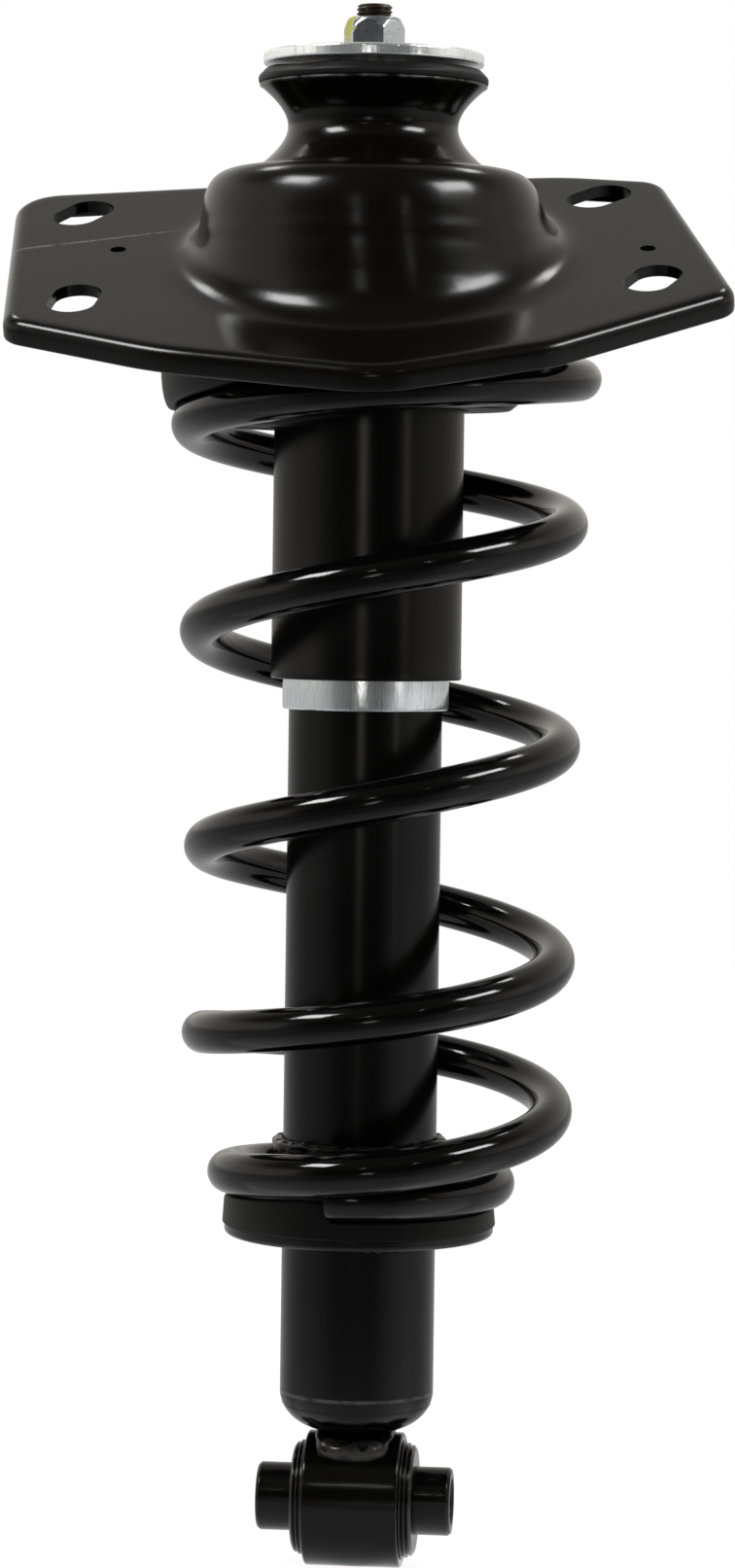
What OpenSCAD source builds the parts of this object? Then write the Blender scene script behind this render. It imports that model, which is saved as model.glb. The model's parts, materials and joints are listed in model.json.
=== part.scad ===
// Strut assembly: a coil spring over a twin-tube damper, with a sloping
// mount plate at the top and a rubber-bushed eye at the foot.
// Origin: centre of the eye. X: along the eye. Z: up the strut. Millimetres.

/* [Eye] */
// Outside diameter of the eye ring
eye_d = 44; // [42:0.5:48]
// Wall of the eye ring
eye_wall = 3.2; // [2.5:0.1:4]
// Width of the eye ring
eye_w = 31.8; // [26:0.2:40]
// Diameter of the rubber lips beside the ring
lip_d = 38.8; // [38:0.2:41]
// How far each rubber lip stands out of the ring
lip_w = 4.2; // [2:0.2:6]
// Outside diameter of the inner sleeve
sleeve_d = 22.2; // [20:0.1:26]
// Bolt hole through the inner sleeve
sleeve_bore = 14.2; // [12.2:0.1:16.2]
// Length of the inner sleeve
sleeve_l = 64.2; // [56:0.2:80]

/* [Damper] */
// Outside diameter of the reservoir tube
tube_d = 50.8; // [48:0.2:54]
// Wall of the reservoir tube
tube_wall = 1.8; // [1.4:0.1:2.2]
// Length of the reservoir tube
tube_l = 241.4; // [230:0.2:250]
// Height of the rounded base cap below the tube
base_h = 9.9; // [8:0.1:14]
// Bore of the pressure tube
cylinder_bore = 32; // [30:0.5:34]
// Outside diameter of the striker cap
striker_d = 55.1; // [54.4:0.1:56]
// How far the striker cap's skirt reaches down the tube
striker_skirt = 12; // [8:0.5:16]
// Diameter of the piston rod
rod_d = 14; // [13:0.5:16]
// Full travel of the damper
stroke = 100; // [80:1:104]

/* [Lower seat] */
// Height of the seat's underside above the eye's centre
seat_z = 88; // [82:0.5:94]
// Outside diameter of the steel seat
seat_d = 89; // [88:0.5:96]
// Thickness of the steel seat
seat_t = 3.4; // [2.5:0.1:4]
// Outside diameter of the seat's collar
collar_d = 58; // [56:0.5:60]
// Height of the seat's collar above the seat's underside
collar_h = 32.5; // [24:0.5:36]
// Least thickness of the lower rubber
lower_rubber_t = 6.3; // [5.5:0.1:7]

/* [Spring] */
// Diameter of the spring's wire
wire_d = 14; // [13:0.1:14.5]
// Height of the wire's centre at its lower tip, above the lower rubber's lowest point
tip_rest = 7.4; // [7.4:0.1:8]
// Height of the wire's centre at its upper tip, above the eye's centre
spring_top_z = 381; // [370:0.5:385]
// Number of turns
turns = 5.7; // [5.5:0.01:5.9]
// Mean radius of the middle coils
body_r = 57.9; // [57:0.1:59]
// How much smaller the first coil's mean radius is
foot_step = 13.8; // [13:0.1:14.2]
// How much larger the last coil's mean radius is
head_step = 6.4; // [5:0.1:7]
// How far the middle coils lie off the strut's axis
side_shift = 5.5; // [0:0.5:6]

/* [Top mount] */
// Height of the plate's upper face on the strut's axis
plate_z = 414.7; // [410:0.1:418]
// Slope of the plate, down towards the front
plate_tilt = 24.6; // [20:0.1:26]
// Thickness of the plate
plate_t = 4; // [3:0.1:5]
// Depth of the turned-down flange, from the plate's upper face
flange_drop = 8.4; // [6:0.1:12]
// Radius of the dome
dome_r = 56.1; // [55.5:0.1:58]
// Slope of the dome's side from upright
dome_draft = 9; // [4:1:10]
// Radius of the flare where the dome meets the plate
flare_r = 10; // [6:0.5:12]
// Height of the dome's top above the plate's upper face on the axis
dome_rise = 25.3; // [24:0.1:28]
// Thickness of the dome
dome_t = 3.2; // [2.5:0.1:4]
// Width of each mounting slot
slot_w = 15.6; // [12:0.1:17]
// Length of each mounting slot
slot_l = 24.4; // [20:0.1:26]
// Diameter of the two locating holes
locating_d = 5.3; // [4:0.1:7]
// Height of the flared tower on the dome
tower_h = 27.5; // [24:0.5:32]
// Outside diameter of the tower's rim
tower_rim_d = 75.4; // [72:0.2:78]
// Outside diameter of the tower's waist
tower_waist_d = 56.4; // [55:0.2:58]
// Diameter of the rubber bead on the tower
bead_d = 76.8; // [75:0.2:80]
// Height of the rubber bead
bead_h = 6.2; // [5:0.1:8]
// Diameter of the top washer
washer_d = 73; // [66:0.5:74]
// Thickness of the top washer
washer_t = 4; // [3:0.1:5]
// Width of the lock nut across its flats
nut_flats = 18; // [17:0.5:20]
// Height of the lock nut
nut_h = 12.1; // [10:0.1:13]
// Nominal diameter of the stud
stud_d = 12; // [11:0.5:12.5]
// How far the stud stands out of the nut
stud_out = 4.2; // [2:0.1:8]

/* [Shield and bump stop] */
// Outside diameter of the dust shield
shield_d = 63.2; // [62.5:0.1:64]
// Wall of the dust shield
shield_wall = 1.6; // [1.2:0.1:1.8]
// How far the dust shield overlaps the damper at full length
shield_lap = 2; // [0:0.5:8]
// Length of the bump stop
bump_l = 68; // [60:1:70]

/* [Hidden] */
$fn = 72;
// Clearance between soft pieces, and between pieces that move past each other
GAP = 0.3;
// Radial clearance of a shaft in its running bore
RUN = 0.05;
FAR = 300;
STEEL_BLACK = [0.09, 0.09, 0.1];
GLOSS_BLACK = [0.05, 0.05, 0.06];
RUBBER = [0.13, 0.13, 0.13];
ZINC = [0.8, 0.81, 0.83];
STEEL = [0.62, 0.63, 0.65];

// Damper heights
tube_bottom = eye_d / 2 + base_h;
tube_top = tube_bottom + tube_l;
tube_ri = tube_d / 2 - tube_wall;
lip_t = 2;
seal_t = 5.3;
guide_flange_t = 12;
guide_spigot = 10;
seal_z = tube_top - lip_t - seal_t;
guide_z = seal_z - guide_flange_t;
base_floor = tube_bottom + 4;
cylinder_wall = 1.25;
cylinder_r = cylinder_bore / 2;
striker_t = 2;
striker_z = tube_top - striker_skirt;

// Piston stack, hung below the rod guide at full length
stop_h = 8;
rebound_collar_h = 4;
collar_gap = 9;
disc_t = 1.5;
piston_h = 16;
piston_nut_h = 8;
piston_nut_af = 17;
tenon_d = 9.6;
stop_top = guide_z - guide_spigot - GAP;
rebound_collar_z = stop_top - stop_h - rebound_collar_h;
rod_foot_z = rebound_collar_z - collar_gap;
piston_top = rod_foot_z - disc_t;
piston_z = piston_top - piston_h;
piston_nut_z = piston_z - disc_t - piston_nut_h;

// Base valve
valve_foot_t = 2.5;
valve_h = 12;

// Top mount heights
plate_under = -plate_t;
dome_top = plate_z + dome_rise;
hat_t = 3;
hat_top = dome_top - dome_t;
rim_z = dome_top + tower_h;
bead_top = rim_z + GAP + bead_h;
washer_z = bead_top + GAP;
nut_z = washer_z + washer_t;
stud_top = nut_z + nut_h + stud_out;
tower_wall = 2.5;
low_flange_t = 3.5;
low_flange_r = 36;
lower_washer_t = 4;
lower_washer_d = 66;
bushing_foot = hat_top - hat_t - low_flange_t;
shoulder_z = bushing_foot - GAP - lower_washer_t;
core_d = 22;
throat_r = tower_waist_d / 2 - tower_wall;

// Spring seats
wire_r = wire_d / 2;
rest = wire_r + GAP;
iso_min_t = 3.7;
pan_z = spring_top_z + rest + iso_min_t;
foot_r = body_r - foot_step;
head_r = body_r + head_step;
pan_r = head_r + 4.5;
hat_r = dome_r - dome_t - 0.1;
cup_flange_t = 2;
cup_z = pan_z - cup_flange_t;
cup_wall_r = shield_d / 2 - shield_wall - 0.2;
cup_wall_t = 2;
cup_roof_gap = 6;
cup_skirt = 10;
cup_roof_z = shoulder_z - cup_roof_gap;
hub_drop = 31.4;
hub_r = 49.6;
seat_top = seat_z + seat_t;
rubber_low = seat_top + lower_rubber_t;
spring_foot_z = rubber_low + tip_rest;
shield_z = tube_top - shield_lap;

// Coil: tip angle, and along its turns the pitch and the shares of the small first coil,
// of the large last coil and of the side shift
tip_angle = -97;
coil_rings = 24;
wire_sides = 8;
pitches = [[0, 1.2], [0.3, 0.2], [0.55, 2.8], [0.8, 22], [1, 33], [1.15, 57], [1.3, 72], [1.5, 47],
           [1.8, 32], [2.05, 53], [2.3, 70], [2.55, 70], [2.8, 78], [3.05, 72], [3.3, 59], [3.55, 70],
           [3.8, 89], [4.05, 71], [4.3, 66], [4.55, 63], [4.8, 54], [5.05, 28], [5.3, 23], [5.7, 23]];
foot_shares = [[0, 1], [0.3, 0.97], [0.78, 1.12], [1, 0.06], [1.3, 0], [1.8, 0]];
head_shares = [[2.8, 0], [3.3, 0.13], [3.8, 0.38], [4.3, 0.38], [4.8, 0.97], [5.7, 1]];
shifts = [[0, 0], [0.3, 0], [0.8, 0.18], [1.3, 1], [5.7, 1]];

ring_count = round(turns * coil_rings);
ring_turns = [for (i = [0:ring_count]) i * turns / ring_count];
// Height of the coil's centre line for unit spring height, summed along the turns
raw_rise = [for (i = 0, h = 0; i <= ring_count;
                 i = i + 1,
                 h = h + lookup((i - 0.5) * turns / ring_count, pitches)) h];
function coil_z(t) =
    spring_foot_z + (spring_top_z - spring_foot_z) * raw_at(t) / raw_rise[ring_count];
function raw_at(t) =
    let (u = min(max(t, 0), turns) / turns * ring_count, i = min(floor(u), ring_count - 1))
    raw_rise[i] + (raw_rise[i + 1] - raw_rise[i]) * (u - i);
function coil_point(t) =
    let (a = tip_angle + 360 * t,
         r = body_r - foot_step * lookup(t, foot_shares) + head_step * lookup(t, head_shares))
    [r * cos(a) + side_shift * lookup(t, shifts), r * sin(a), coil_z(t)];

// Outline of the plate in its own plane: [x, y, corner radius], counterclockwise
outline_corners = [
    [-112.5, -68, 11], [-60, -92, 120], [12, -108.5, 34], [66, -85, 30], [122.3, -38, 11],
    [93.3, 66.5, 11], [60, 71.5, 60], [-30, 64.5, 200], [-127.5, 48.5, 16],
];
// Slots in the plate's plane: [x, y, angle of the long axis]
slots = [[-101.5, 30.1, 61], [-91.8, -49, 85], [72.6, 49.1, 47], [94.2, -27.4, 67]];
locating_holes = [[-84.2, -4.6], [91.4, -0.4]];

// ---- Helpers ----

// Points on an arc about [x, y]
function arc(x, y, r, from, to, steps = 8) =
    [for (i = [0:steps]) let (a = from + (to - from) * i / steps) [x + r * cos(a), y + r * sin(a)]];

function unit(v) = v / norm(v);
function flat(p) = [p[0], p[1]];
function turned_left(v) = [-v[1], v[0]];

// Corners moved inwards by d, each radius shrunk to match
function inset(corners, d) = [
    for (i = [0:len(corners) - 1])
        let (n = len(corners), p = flat(corners[i]),
             a = turned_left(unit(p - flat(corners[(i + n - 1) % n]))),
             b = turned_left(unit(flat(corners[(i + 1) % n]) - p)),
             q = p + d * (a + b) / (1 + a * b))
        [q[0], q[1], max(corners[i][2] - d, 1)]
];

// Outline with each corner rounded by an arc
function rounded(corners, steps = 6) = [
    for (i = [0:len(corners) - 1])
        let (n = len(corners), p = flat(corners[i]), r = corners[i][2],
             a = unit(p - flat(corners[(i + n - 1) % n])),
             b = unit(flat(corners[(i + 1) % n]) - p),
             turn = acos(min(1, a * b)), run = r * tan(turn / 2),
             centre = p - a * run + turned_left(a) * r,
             start = atan2(a[1], a[0]) - 90)
        each arc(centre[0], centre[1], r, start, start + turn, steps)
];

// Solid turned from a half section of [radius, height] points
module turned(points) rotate_extrude() polygon(points);

// Ring with radii ro and ri, from height z up by h
module ring(ro, ri, z, h) translate([0, 0, z]) difference() {
    cylinder(r = ro, h = h);
    translate([0, 0, -1]) cylinder(r = ri, h = h + 2);
}

// Ring along X, centred on the eye
module eye_tube(ro, ri, w) rotate([0, 90, 0]) ring(ro, ri, -w / 2, w);

// Children drawn in the plate's plane, with z = 0 on its upper face
module on_plate() translate([0, 0, plate_z]) rotate([plate_tilt, 0, 0]) children();

// Everything above the plate's underside
module above_plate(extra = 0)
    on_plate() translate([-FAR / 2, -FAR / 2, plate_under - extra]) cube(FAR);

module slot(at) translate([at[0], at[1], -FAR / 2]) rotate(at[2]) linear_extrude(FAR) {
    square([slot_l - slot_w, slot_w], center = true);
    for (side = [-1, 1]) translate([side * (slot_l - slot_w) / 2, 0]) circle(d = slot_w);
}

// ---- Top mount ----

shoulder_r = 10;
// Half section of the dome, lowered and narrowed by t for its inside
module dome(t) {
    centre = [dome_r - shoulder_r, dome_top - shoulder_r];
    round_r = shoulder_r - t;
    foot_z = plate_z - dome_r;
    side = arc(centre[0], centre[1], round_r, dome_draft, 90);
    foot = side[0][0] + (side[0][1] - foot_z) * tan(dome_draft);
    turned(concat([[0, foot_z], [foot, foot_z]], side, [[0, dome_top - t]]));
}

// Flare round the dome's foot: a hollow arc that follows the sloping plate, and ends
// under the dome's shoulder
module foot_flare() intersection() {
    reach = dome_r + 1 + flare_r;
    on_plate() scale([1, 1 / cos(plate_tilt), 1]) turned(concat(
        [[0, plate_under / 2], [reach, plate_under / 2]], arc(reach, flare_r, flare_r, 270, 180),
        [[0, flare_r]]));
    translate([0, 0, dome_top - shoulder_r - FAR]) cylinder(r = FAR, h = FAR);
}

module mount_plate() color(STEEL_BLACK) difference() {
    union() {
        on_plate() {
            translate([0, 0, plate_under]) linear_extrude(plate_t) polygon(rounded(outline_corners));
            translate([0, 0, -flange_drop]) linear_extrude(flange_drop) difference() {
                polygon(rounded(outline_corners));
                polygon(rounded(inset(outline_corners, plate_t)));
            }
        }
        intersection() {
            dome(0);
            above_plate();
        }
        foot_flare();
    }
    dome(dome_t);
    translate([0, 0, dome_top - FAR / 2]) cylinder(r = throat_r, h = FAR);
    on_plate() {
        for (at = slots) slot(at);
        for (at = locating_holes)
            translate([at[0], at[1], -FAR / 2]) cylinder(d = locating_d, h = FAR);
    }
}

waist_z = dome_top + tower_h * 0.51;
// Half section of the tower's wall, narrowed by t: a hyperbola through the waist and the
// rim. Its upper half starts at the ninth point
function tower_line(t) =
    let (waist = tower_waist_d / 2, rim = tower_rim_d / 2,
         spread = sqrt(rim * rim - waist * waist) / (rim_z - waist_z))
    [for (i = [0:16])
        let (z = i < 8 ? dome_top + (waist_z - dome_top) * i / 8
                       : waist_z + (rim_z - waist_z) * (i - 8) / 8)
        [norm([waist, spread * (z - waist_z)]) - t, z]];

module mount_tower() color(STEEL_BLACK) turned(concat(
    [for (p = tower_line(0)) p],
    [for (i = [16:-1:8]) tower_line(tower_wall)[i]],
    [[throat_r, dome_top]]));

module rod_bushing() color(RUBBER) turned(concat(
    [[core_d / 2 + RUN, bushing_foot], [low_flange_r, bushing_foot],
     [low_flange_r, bushing_foot + low_flange_t], [throat_r, bushing_foot + low_flange_t]],
    [for (i = [8:16]) tower_line(tower_wall)[i]],
    [[tower_rim_d / 2 - tower_wall, rim_z + GAP]],
    arc(bead_d / 2 - bead_h / 2, rim_z + GAP + bead_h / 2, bead_h / 2, -90, 90),
    [[core_d / 2 + RUN, bead_top]]));

module upper_spring_seat() color(STEEL_BLACK) difference() {
    union() {
        ring(hat_r, throat_r, hat_top - hat_t, hat_t);
        ring(hat_r, hat_r - hat_t, pan_z, hat_top - pan_z);
        ring(pan_r, hat_r - hat_t, pan_z, hat_t);
    }
    difference() {
        above_plate();
        translate([0, 0, pan_z - 1]) cylinder(r = dome_r - dome_t, h = FAR);
    }
    hat_corner();
}

// What the dome's rounded shoulder takes off the hat
module hat_corner() difference() {
    ring(dome_r, hat_r - 4 * hat_t, hat_top - 4 * hat_t, 5 * hat_t);
    dome(dome_t);
}

module bump_stop_cup() color(STEEL) {
    skirt_z = cup_z - cup_skirt;
    turned([[cup_wall_r - cup_wall_t, skirt_z], [cup_wall_r, skirt_z], [cup_wall_r, cup_z],
            [hat_r - 1, cup_z], [hat_r - 1, pan_z], [cup_wall_r, pan_z],
            [cup_wall_r, cup_roof_z], [rod_d / 2 + 3, cup_roof_z],
            [rod_d / 2 + 3, cup_roof_z - cup_wall_t],
            [cup_wall_r - cup_wall_t, cup_roof_z - cup_wall_t]]);
}

module bump_stop() color([0.75, 0.68, 0.45]) {
    top = cup_roof_z - cup_wall_t;
    r = cup_wall_r - cup_wall_t - GAP;
    bore = rod_d / 2 + 1.3;
    // Each step is a share of the radius, and how far down the stop it lies
    turned([[bore, top - bump_l],
            for (step = [[0.67, 1], [0.78, 0.91], [0.78, 0.66], [0.67, 0.6], [0.89, 0.54],
                         [0.89, 0.36], [0.75, 0.3], [1, 0.24], [1, 0]])
                [r * step[0], top - bump_l * step[1]],
            [bore, top]]);
}

module dust_shield() color(GLOSS_BLACK)
    ring(shield_d / 2, shield_d / 2 - shield_wall, shield_z, cup_z - shield_z);

// Wedge that clears the wire from t0 to t1 turns, outside radius ri. side 1 cuts
// from below up to the wire's top, side -1 from above down to its underside.
module wire_wedge(t0, t1, ri, side) {
    n = 40;
    ro = FAR / 3;
    function height(i) = coil_z(t0 + (t1 - t0) * i / n) + side * rest;
    function spot(i, r, z) =
        let (a = tip_angle + 360 * (t0 + (t1 - t0) * i / n)) [r * cos(a), r * sin(a), z];
    function station(i) = [spot(i, ri, height(i)), spot(i, ro, height(i)),
                           spot(i, ro, height(i) - side * seat_d / 2),
                           spot(i, ri, height(i) - side * seat_d / 2)];
    points = [for (i = [0:n]) each station(i)];
    last = 4 * n;
    walls = [for (i = [0:n - 1], k = [0:3])
        let (a = 4 * i + k, b = 4 * i + (k + 1) % 4) each [[a, b, b + 4], [a, b + 4, a + 4]]];
    ends = [[0, 3, 2], [0, 2, 1], [last, last + 1, last + 2], [last, last + 2, last + 3]];
    faces = concat(walls, ends);
    // The section runs the other way round on side 1, so its faces turn over
    polyhedron(points, side < 0 ? faces : [for (f = faces) [f[0], f[2], f[1]]]);
}

module upper_isolator() color(RUBBER) {
    bore = shield_d / 2 + 1;
    foot = pan_z - hub_drop;
    round_r = 3;
    difference() {
        turned(concat([[bore, foot]], arc(hub_r - round_r, foot + round_r, round_r, -90, 0),
                      [[hub_r, foot + round_r + 1], [pan_r + 1, foot + round_r + 1],
                       [pan_r + 1, pan_z], [hat_r - 1, pan_z], [hat_r - 1, cup_z], [bore, cup_z]]));
        wire_wedge(turns - 0.97, turns + 0.003, hub_r + 0.5, 1);
        difference() {
            above_plate();
            translate([0, 0, plate_z - FAR / 2]) cylinder(r = dome_r - dome_t, h = FAR);
        }
    }
}

// The coil as one unbroken tube
module coil_spring() {
    function frame_at(t) =
        let (along = unit(coil_point(t + 0.002) - coil_point(t - 0.002)),
             out = unit(cross(along, [0, 0, 1]))) [out, cross(out, along)];
    points = [for (t = ring_turns)
        let (c = coil_point(t), f = frame_at(t))
        each [for (k = [0:wire_sides - 1])
            let (b = 360 * k / wire_sides) c + wire_r * (cos(b) * f[0] + sin(b) * f[1])]];
    walls = [for (i = [0:ring_count - 1], k = [0:wire_sides - 1])
        let (a = wire_sides * i + k, b = wire_sides * i + (k + 1) % wire_sides)
        each [[a, b, b + wire_sides], [a, b + wire_sides, a + wire_sides]]];
    last = wire_sides * ring_count;
    ends = [for (k = [1:wire_sides - 2])
        each [[0, k + 1, k], [last, last + k, last + k + 1]]];
    color(GLOSS_BLACK) polyhedron(points, concat(walls, ends));
}

centres = [for (t = ring_turns) coil_point(t)];
least_gap = min([for (i = [0:ring_count - coil_rings / 2], j = [i + coil_rings / 2:ring_count])
    norm(centres[i] - centres[j])]) - wire_d;
echo(least_gap_of_the_coil_to_itself = least_gap);

// ---- Piston rod ----

module piston_rod() color(STEEL) {
    foot = piston_nut_z - 3;
    chamfer = 1;
    turned([[0, foot], [tenon_d / 2, foot], [tenon_d / 2, rod_foot_z], [rod_d / 2, rod_foot_z],
            [rod_d / 2, shoulder_z], [stud_d / 2, shoulder_z], [stud_d / 2, stud_top - chamfer],
            [stud_d / 2 - chamfer, stud_top], [0, stud_top]]);
}

// Hexagonal nut with height h from z, with a plain bore
module nut(flats, bore, z, h, turn) translate([0, 0, z]) rotate(turn) difference() {
    cylinder(d = flats / cos(30), h = h, $fn = 6);
    translate([0, 0, -1]) cylinder(d = bore, h = h + 2);
}

module lock_nut() color(ZINC) nut(nut_flats, stud_d + 2 * RUN, nut_z, nut_h, -7);

module top_washer() color(ZINC) ring(washer_d / 2, stud_d / 2 + RUN, washer_z, washer_t);

module bushing_core() color(STEEL)
    ring(core_d / 2, stud_d / 2 + RUN, shoulder_z + lower_washer_t,
         washer_z - shoulder_z - lower_washer_t);

module lower_washer() color(STEEL)
    ring(lower_washer_d / 2, stud_d / 2 + RUN, shoulder_z, lower_washer_t);

module rebound_stop() color(RUBBER)
    ring(cylinder_r - 1.5, rod_d / 2 + RUN, stop_top - stop_h, stop_h);

module rebound_collar() color(STEEL)
    ring(rod_d / 2 + 4, rod_d / 2 + RUN, rebound_collar_z, rebound_collar_h);

band_h = 9;
band_t = 1.2;
module piston() color([0.35, 0.35, 0.37]) difference() {
    ring(cylinder_r - GAP, tenon_d / 2 + RUN, piston_z, piston_h);
    ring(cylinder_r + 1, cylinder_r - band_t, piston_z + (piston_h - band_h) / 2, band_h);
    for (a = [0:60:300]) rotate(a) translate([cylinder_r * 0.62, 0, piston_z - 1])
        cylinder(d = 2.6, h = piston_h + 2);
}

module piston_band() color([0.2, 0.4, 0.35])
    ring(cylinder_r - RUN, cylinder_r - band_t, piston_z + (piston_h - band_h) / 2, band_h);

module rebound_discs() color(STEEL) ring(cylinder_r * 0.55, tenon_d / 2 + RUN, piston_z - disc_t, disc_t);

module compression_discs() color(STEEL) ring(cylinder_r * 0.8, tenon_d / 2 + RUN, piston_top, disc_t);

module piston_nut() color(STEEL)
    nut(piston_nut_af, tenon_d + 2 * RUN, piston_nut_z, piston_nut_h, 0);

// ---- Damper ----

module reservoir_tube() color(GLOSS_BLACK) turned([
    [tube_ri, tube_bottom], [tube_d / 2, tube_bottom], [tube_d / 2, tube_top - 2],
    [tube_d / 2 - 2, tube_top], [tube_ri - 4, tube_top], [tube_ri - 4, tube_top - lip_t],
    [tube_ri, tube_top - lip_t]]);

module base_cap() color(GLOSS_BLACK) {
    neck = eye_d / 2 * 0.5;
    top_r = tube_d / 2 - 1.2;
    bowl_z = eye_d / 2;
    turned(concat([[0, bowl_z], [neck, bowl_z]],
                  [for (i = [1:8]) let (a = 90 * i / 8)
                      [neck + (top_r - neck) * sin(a), tube_bottom - base_h * 0.85 * cos(a)]],
                  [[tube_ri, tube_bottom], [tube_ri, base_floor + 3], [tube_ri - 3, base_floor + 3],
                   [tube_ri - 3, base_floor], [0, base_floor]]));
}

module pressure_tube() color(STEEL)
    ring(cylinder_r + cylinder_wall, cylinder_r, base_floor + valve_foot_t,
         guide_z - base_floor - valve_foot_t);

module base_valve() color([0.45, 0.45, 0.47]) difference() {
    union() {
        ring(cylinder_r + cylinder_wall, 2.05, base_floor, valve_foot_t);
        ring(cylinder_r - RUN, 2.05, base_floor + valve_foot_t, valve_h - valve_foot_t);
    }
    for (a = [0:60:300]) rotate(a) translate([cylinder_r * 0.55, 0, base_floor - 1])
        cylinder(d = 2.4, h = valve_h + 2);
}

module base_valve_discs() color(STEEL) ring(cylinder_r * 0.7, 2.05, base_floor + valve_h, disc_t);

module base_valve_pin() color(STEEL) turned([
    [0, base_floor], [2, base_floor], [2, base_floor + valve_h + disc_t],
    [4, base_floor + valve_h + disc_t], [4, base_floor + valve_h + disc_t + 2],
    [0, base_floor + valve_h + disc_t + 2]]);

guide_bush_t = 1.5;
module rod_guide() color([0.4, 0.4, 0.42]) difference() {
    union() {
        ring(tube_ri - RUN, rod_d / 2 + RUN + guide_bush_t, guide_z, guide_flange_t);
        ring(cylinder_r - RUN, rod_d / 2 + RUN + guide_bush_t, guide_z - guide_spigot, guide_spigot);
    }
}

module guide_bushing() color([0.7, 0.55, 0.3])
    ring(rod_d / 2 + RUN + guide_bush_t, rod_d / 2 + RUN, guide_z - guide_spigot + 2,
         guide_flange_t + guide_spigot - 4);

module rod_seal() color(RUBBER) ring(tube_ri - RUN, rod_d / 2 + RUN, seal_z, seal_t);

module striker_cap() color(ZINC) turned([
    [tube_d / 2 + RUN, striker_z], [striker_d / 2, striker_z],
    [striker_d / 2, tube_top + striker_t - 2], [striker_d / 2 - 2, tube_top + striker_t],
    [rod_d / 2 + 1.5, tube_top + striker_t], [rod_d / 2 + 1.5, tube_top],
    [tube_d / 2 + RUN, tube_top]]);

// ---- Lower seat ----

module lower_spring_seat() color(STEEL_BLACK) {
    r = seat_d / 2;
    round_r = 3;
    bore = tube_d / 2 + RUN;
    collar_r = collar_d / 2;
    turned(concat([[bore, seat_z]], arc(r - round_r, seat_z + round_r, round_r, -90, 0),
                  [[r, seat_top], [collar_r, seat_top]],
                  arc(collar_r - 2, seat_z + collar_h - 2, 2, 0, 90), [[bore, seat_z + collar_h]]));
}

module seat_weld() color(STEEL_BLACK) {
    leg = 3.2;
    bore = tube_d / 2 + RUN;
    turned([[bore, seat_z - leg], [bore + leg * 0.6, seat_z - leg * 0.6], [bore + leg, seat_z],
            [bore, seat_z]]);
}

module lower_isolator() color(RUBBER) {
    rubber_high = rubber_low + 7.2;
    bore = collar_d / 2 + 0.2;
    r = seat_d / 2 + 0.8;
    difference() {
        turned([[bore, seat_top], [r, seat_top], [r, rubber_high], [bore, rubber_high]]);
        wire_wedge(-0.003, 0.95, bore + 4, -1);
    }
}

// ---- Eye ----

module eye_ring() color(GLOSS_BLACK) eye_tube(eye_d / 2, eye_d / 2 - eye_wall, eye_w);

shell_wall = 1.2;
module bushing_shell() color(STEEL)
    eye_tube(eye_d / 2 - eye_wall, eye_d / 2 - eye_wall - shell_wall, eye_w - 1);

module eye_bushing() color(RUBBER) {
    inner = sleeve_d / 2 + RUN;
    eye_tube(eye_d / 2 - eye_wall - shell_wall, inner, eye_w);
    for (side = [0, 180]) rotate([0, 0, side]) rotate([0, 90, 0])
        ring(lip_d / 2, inner, eye_w / 2, lip_w);
}

module eye_weld() color([0.25, 0.25, 0.26]) difference() {
    translate([0, 0, eye_d / 2 * 0.7]) cylinder(r1 = eye_d / 2 * 0.72, r2 = eye_d / 2 * 0.62, h = 9);
    rotate([0, 90, 0]) cylinder(d = eye_d, h = FAR, center = true);
    base_cap();
}

module inner_sleeve() color(GLOSS_BLACK) eye_tube(sleeve_d / 2, sleeve_bore / 2, sleeve_l);

mount_plate();
mount_tower();
rod_bushing();
upper_spring_seat();
upper_isolator();
bump_stop_cup();
bump_stop();
dust_shield();
coil_spring();
piston_rod();
lock_nut();
top_washer();
bushing_core();
lower_washer();
rebound_stop();
rebound_collar();
piston();
piston_band();
compression_discs();
rebound_discs();
piston_nut();
reservoir_tube();
base_cap();
pressure_tube();
base_valve();
base_valve_discs();
base_valve_pin();
rod_guide();
guide_bushing();
rod_seal();
striker_cap();
lower_spring_seat();
seat_weld();
lower_isolator();
eye_ring();
eye_weld();
bushing_shell();
eye_bushing();
inner_sleeve();
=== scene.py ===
"""Looks of the strut assembly: a coil spring over a damper, between a sloping mount plate and a bushed eye."""

import json
import logging
import math
from dataclasses import dataclass, field
from enum import Enum

import bmesh
import bpy
import numpy as np
from mathutils import Matrix, Vector


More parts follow.
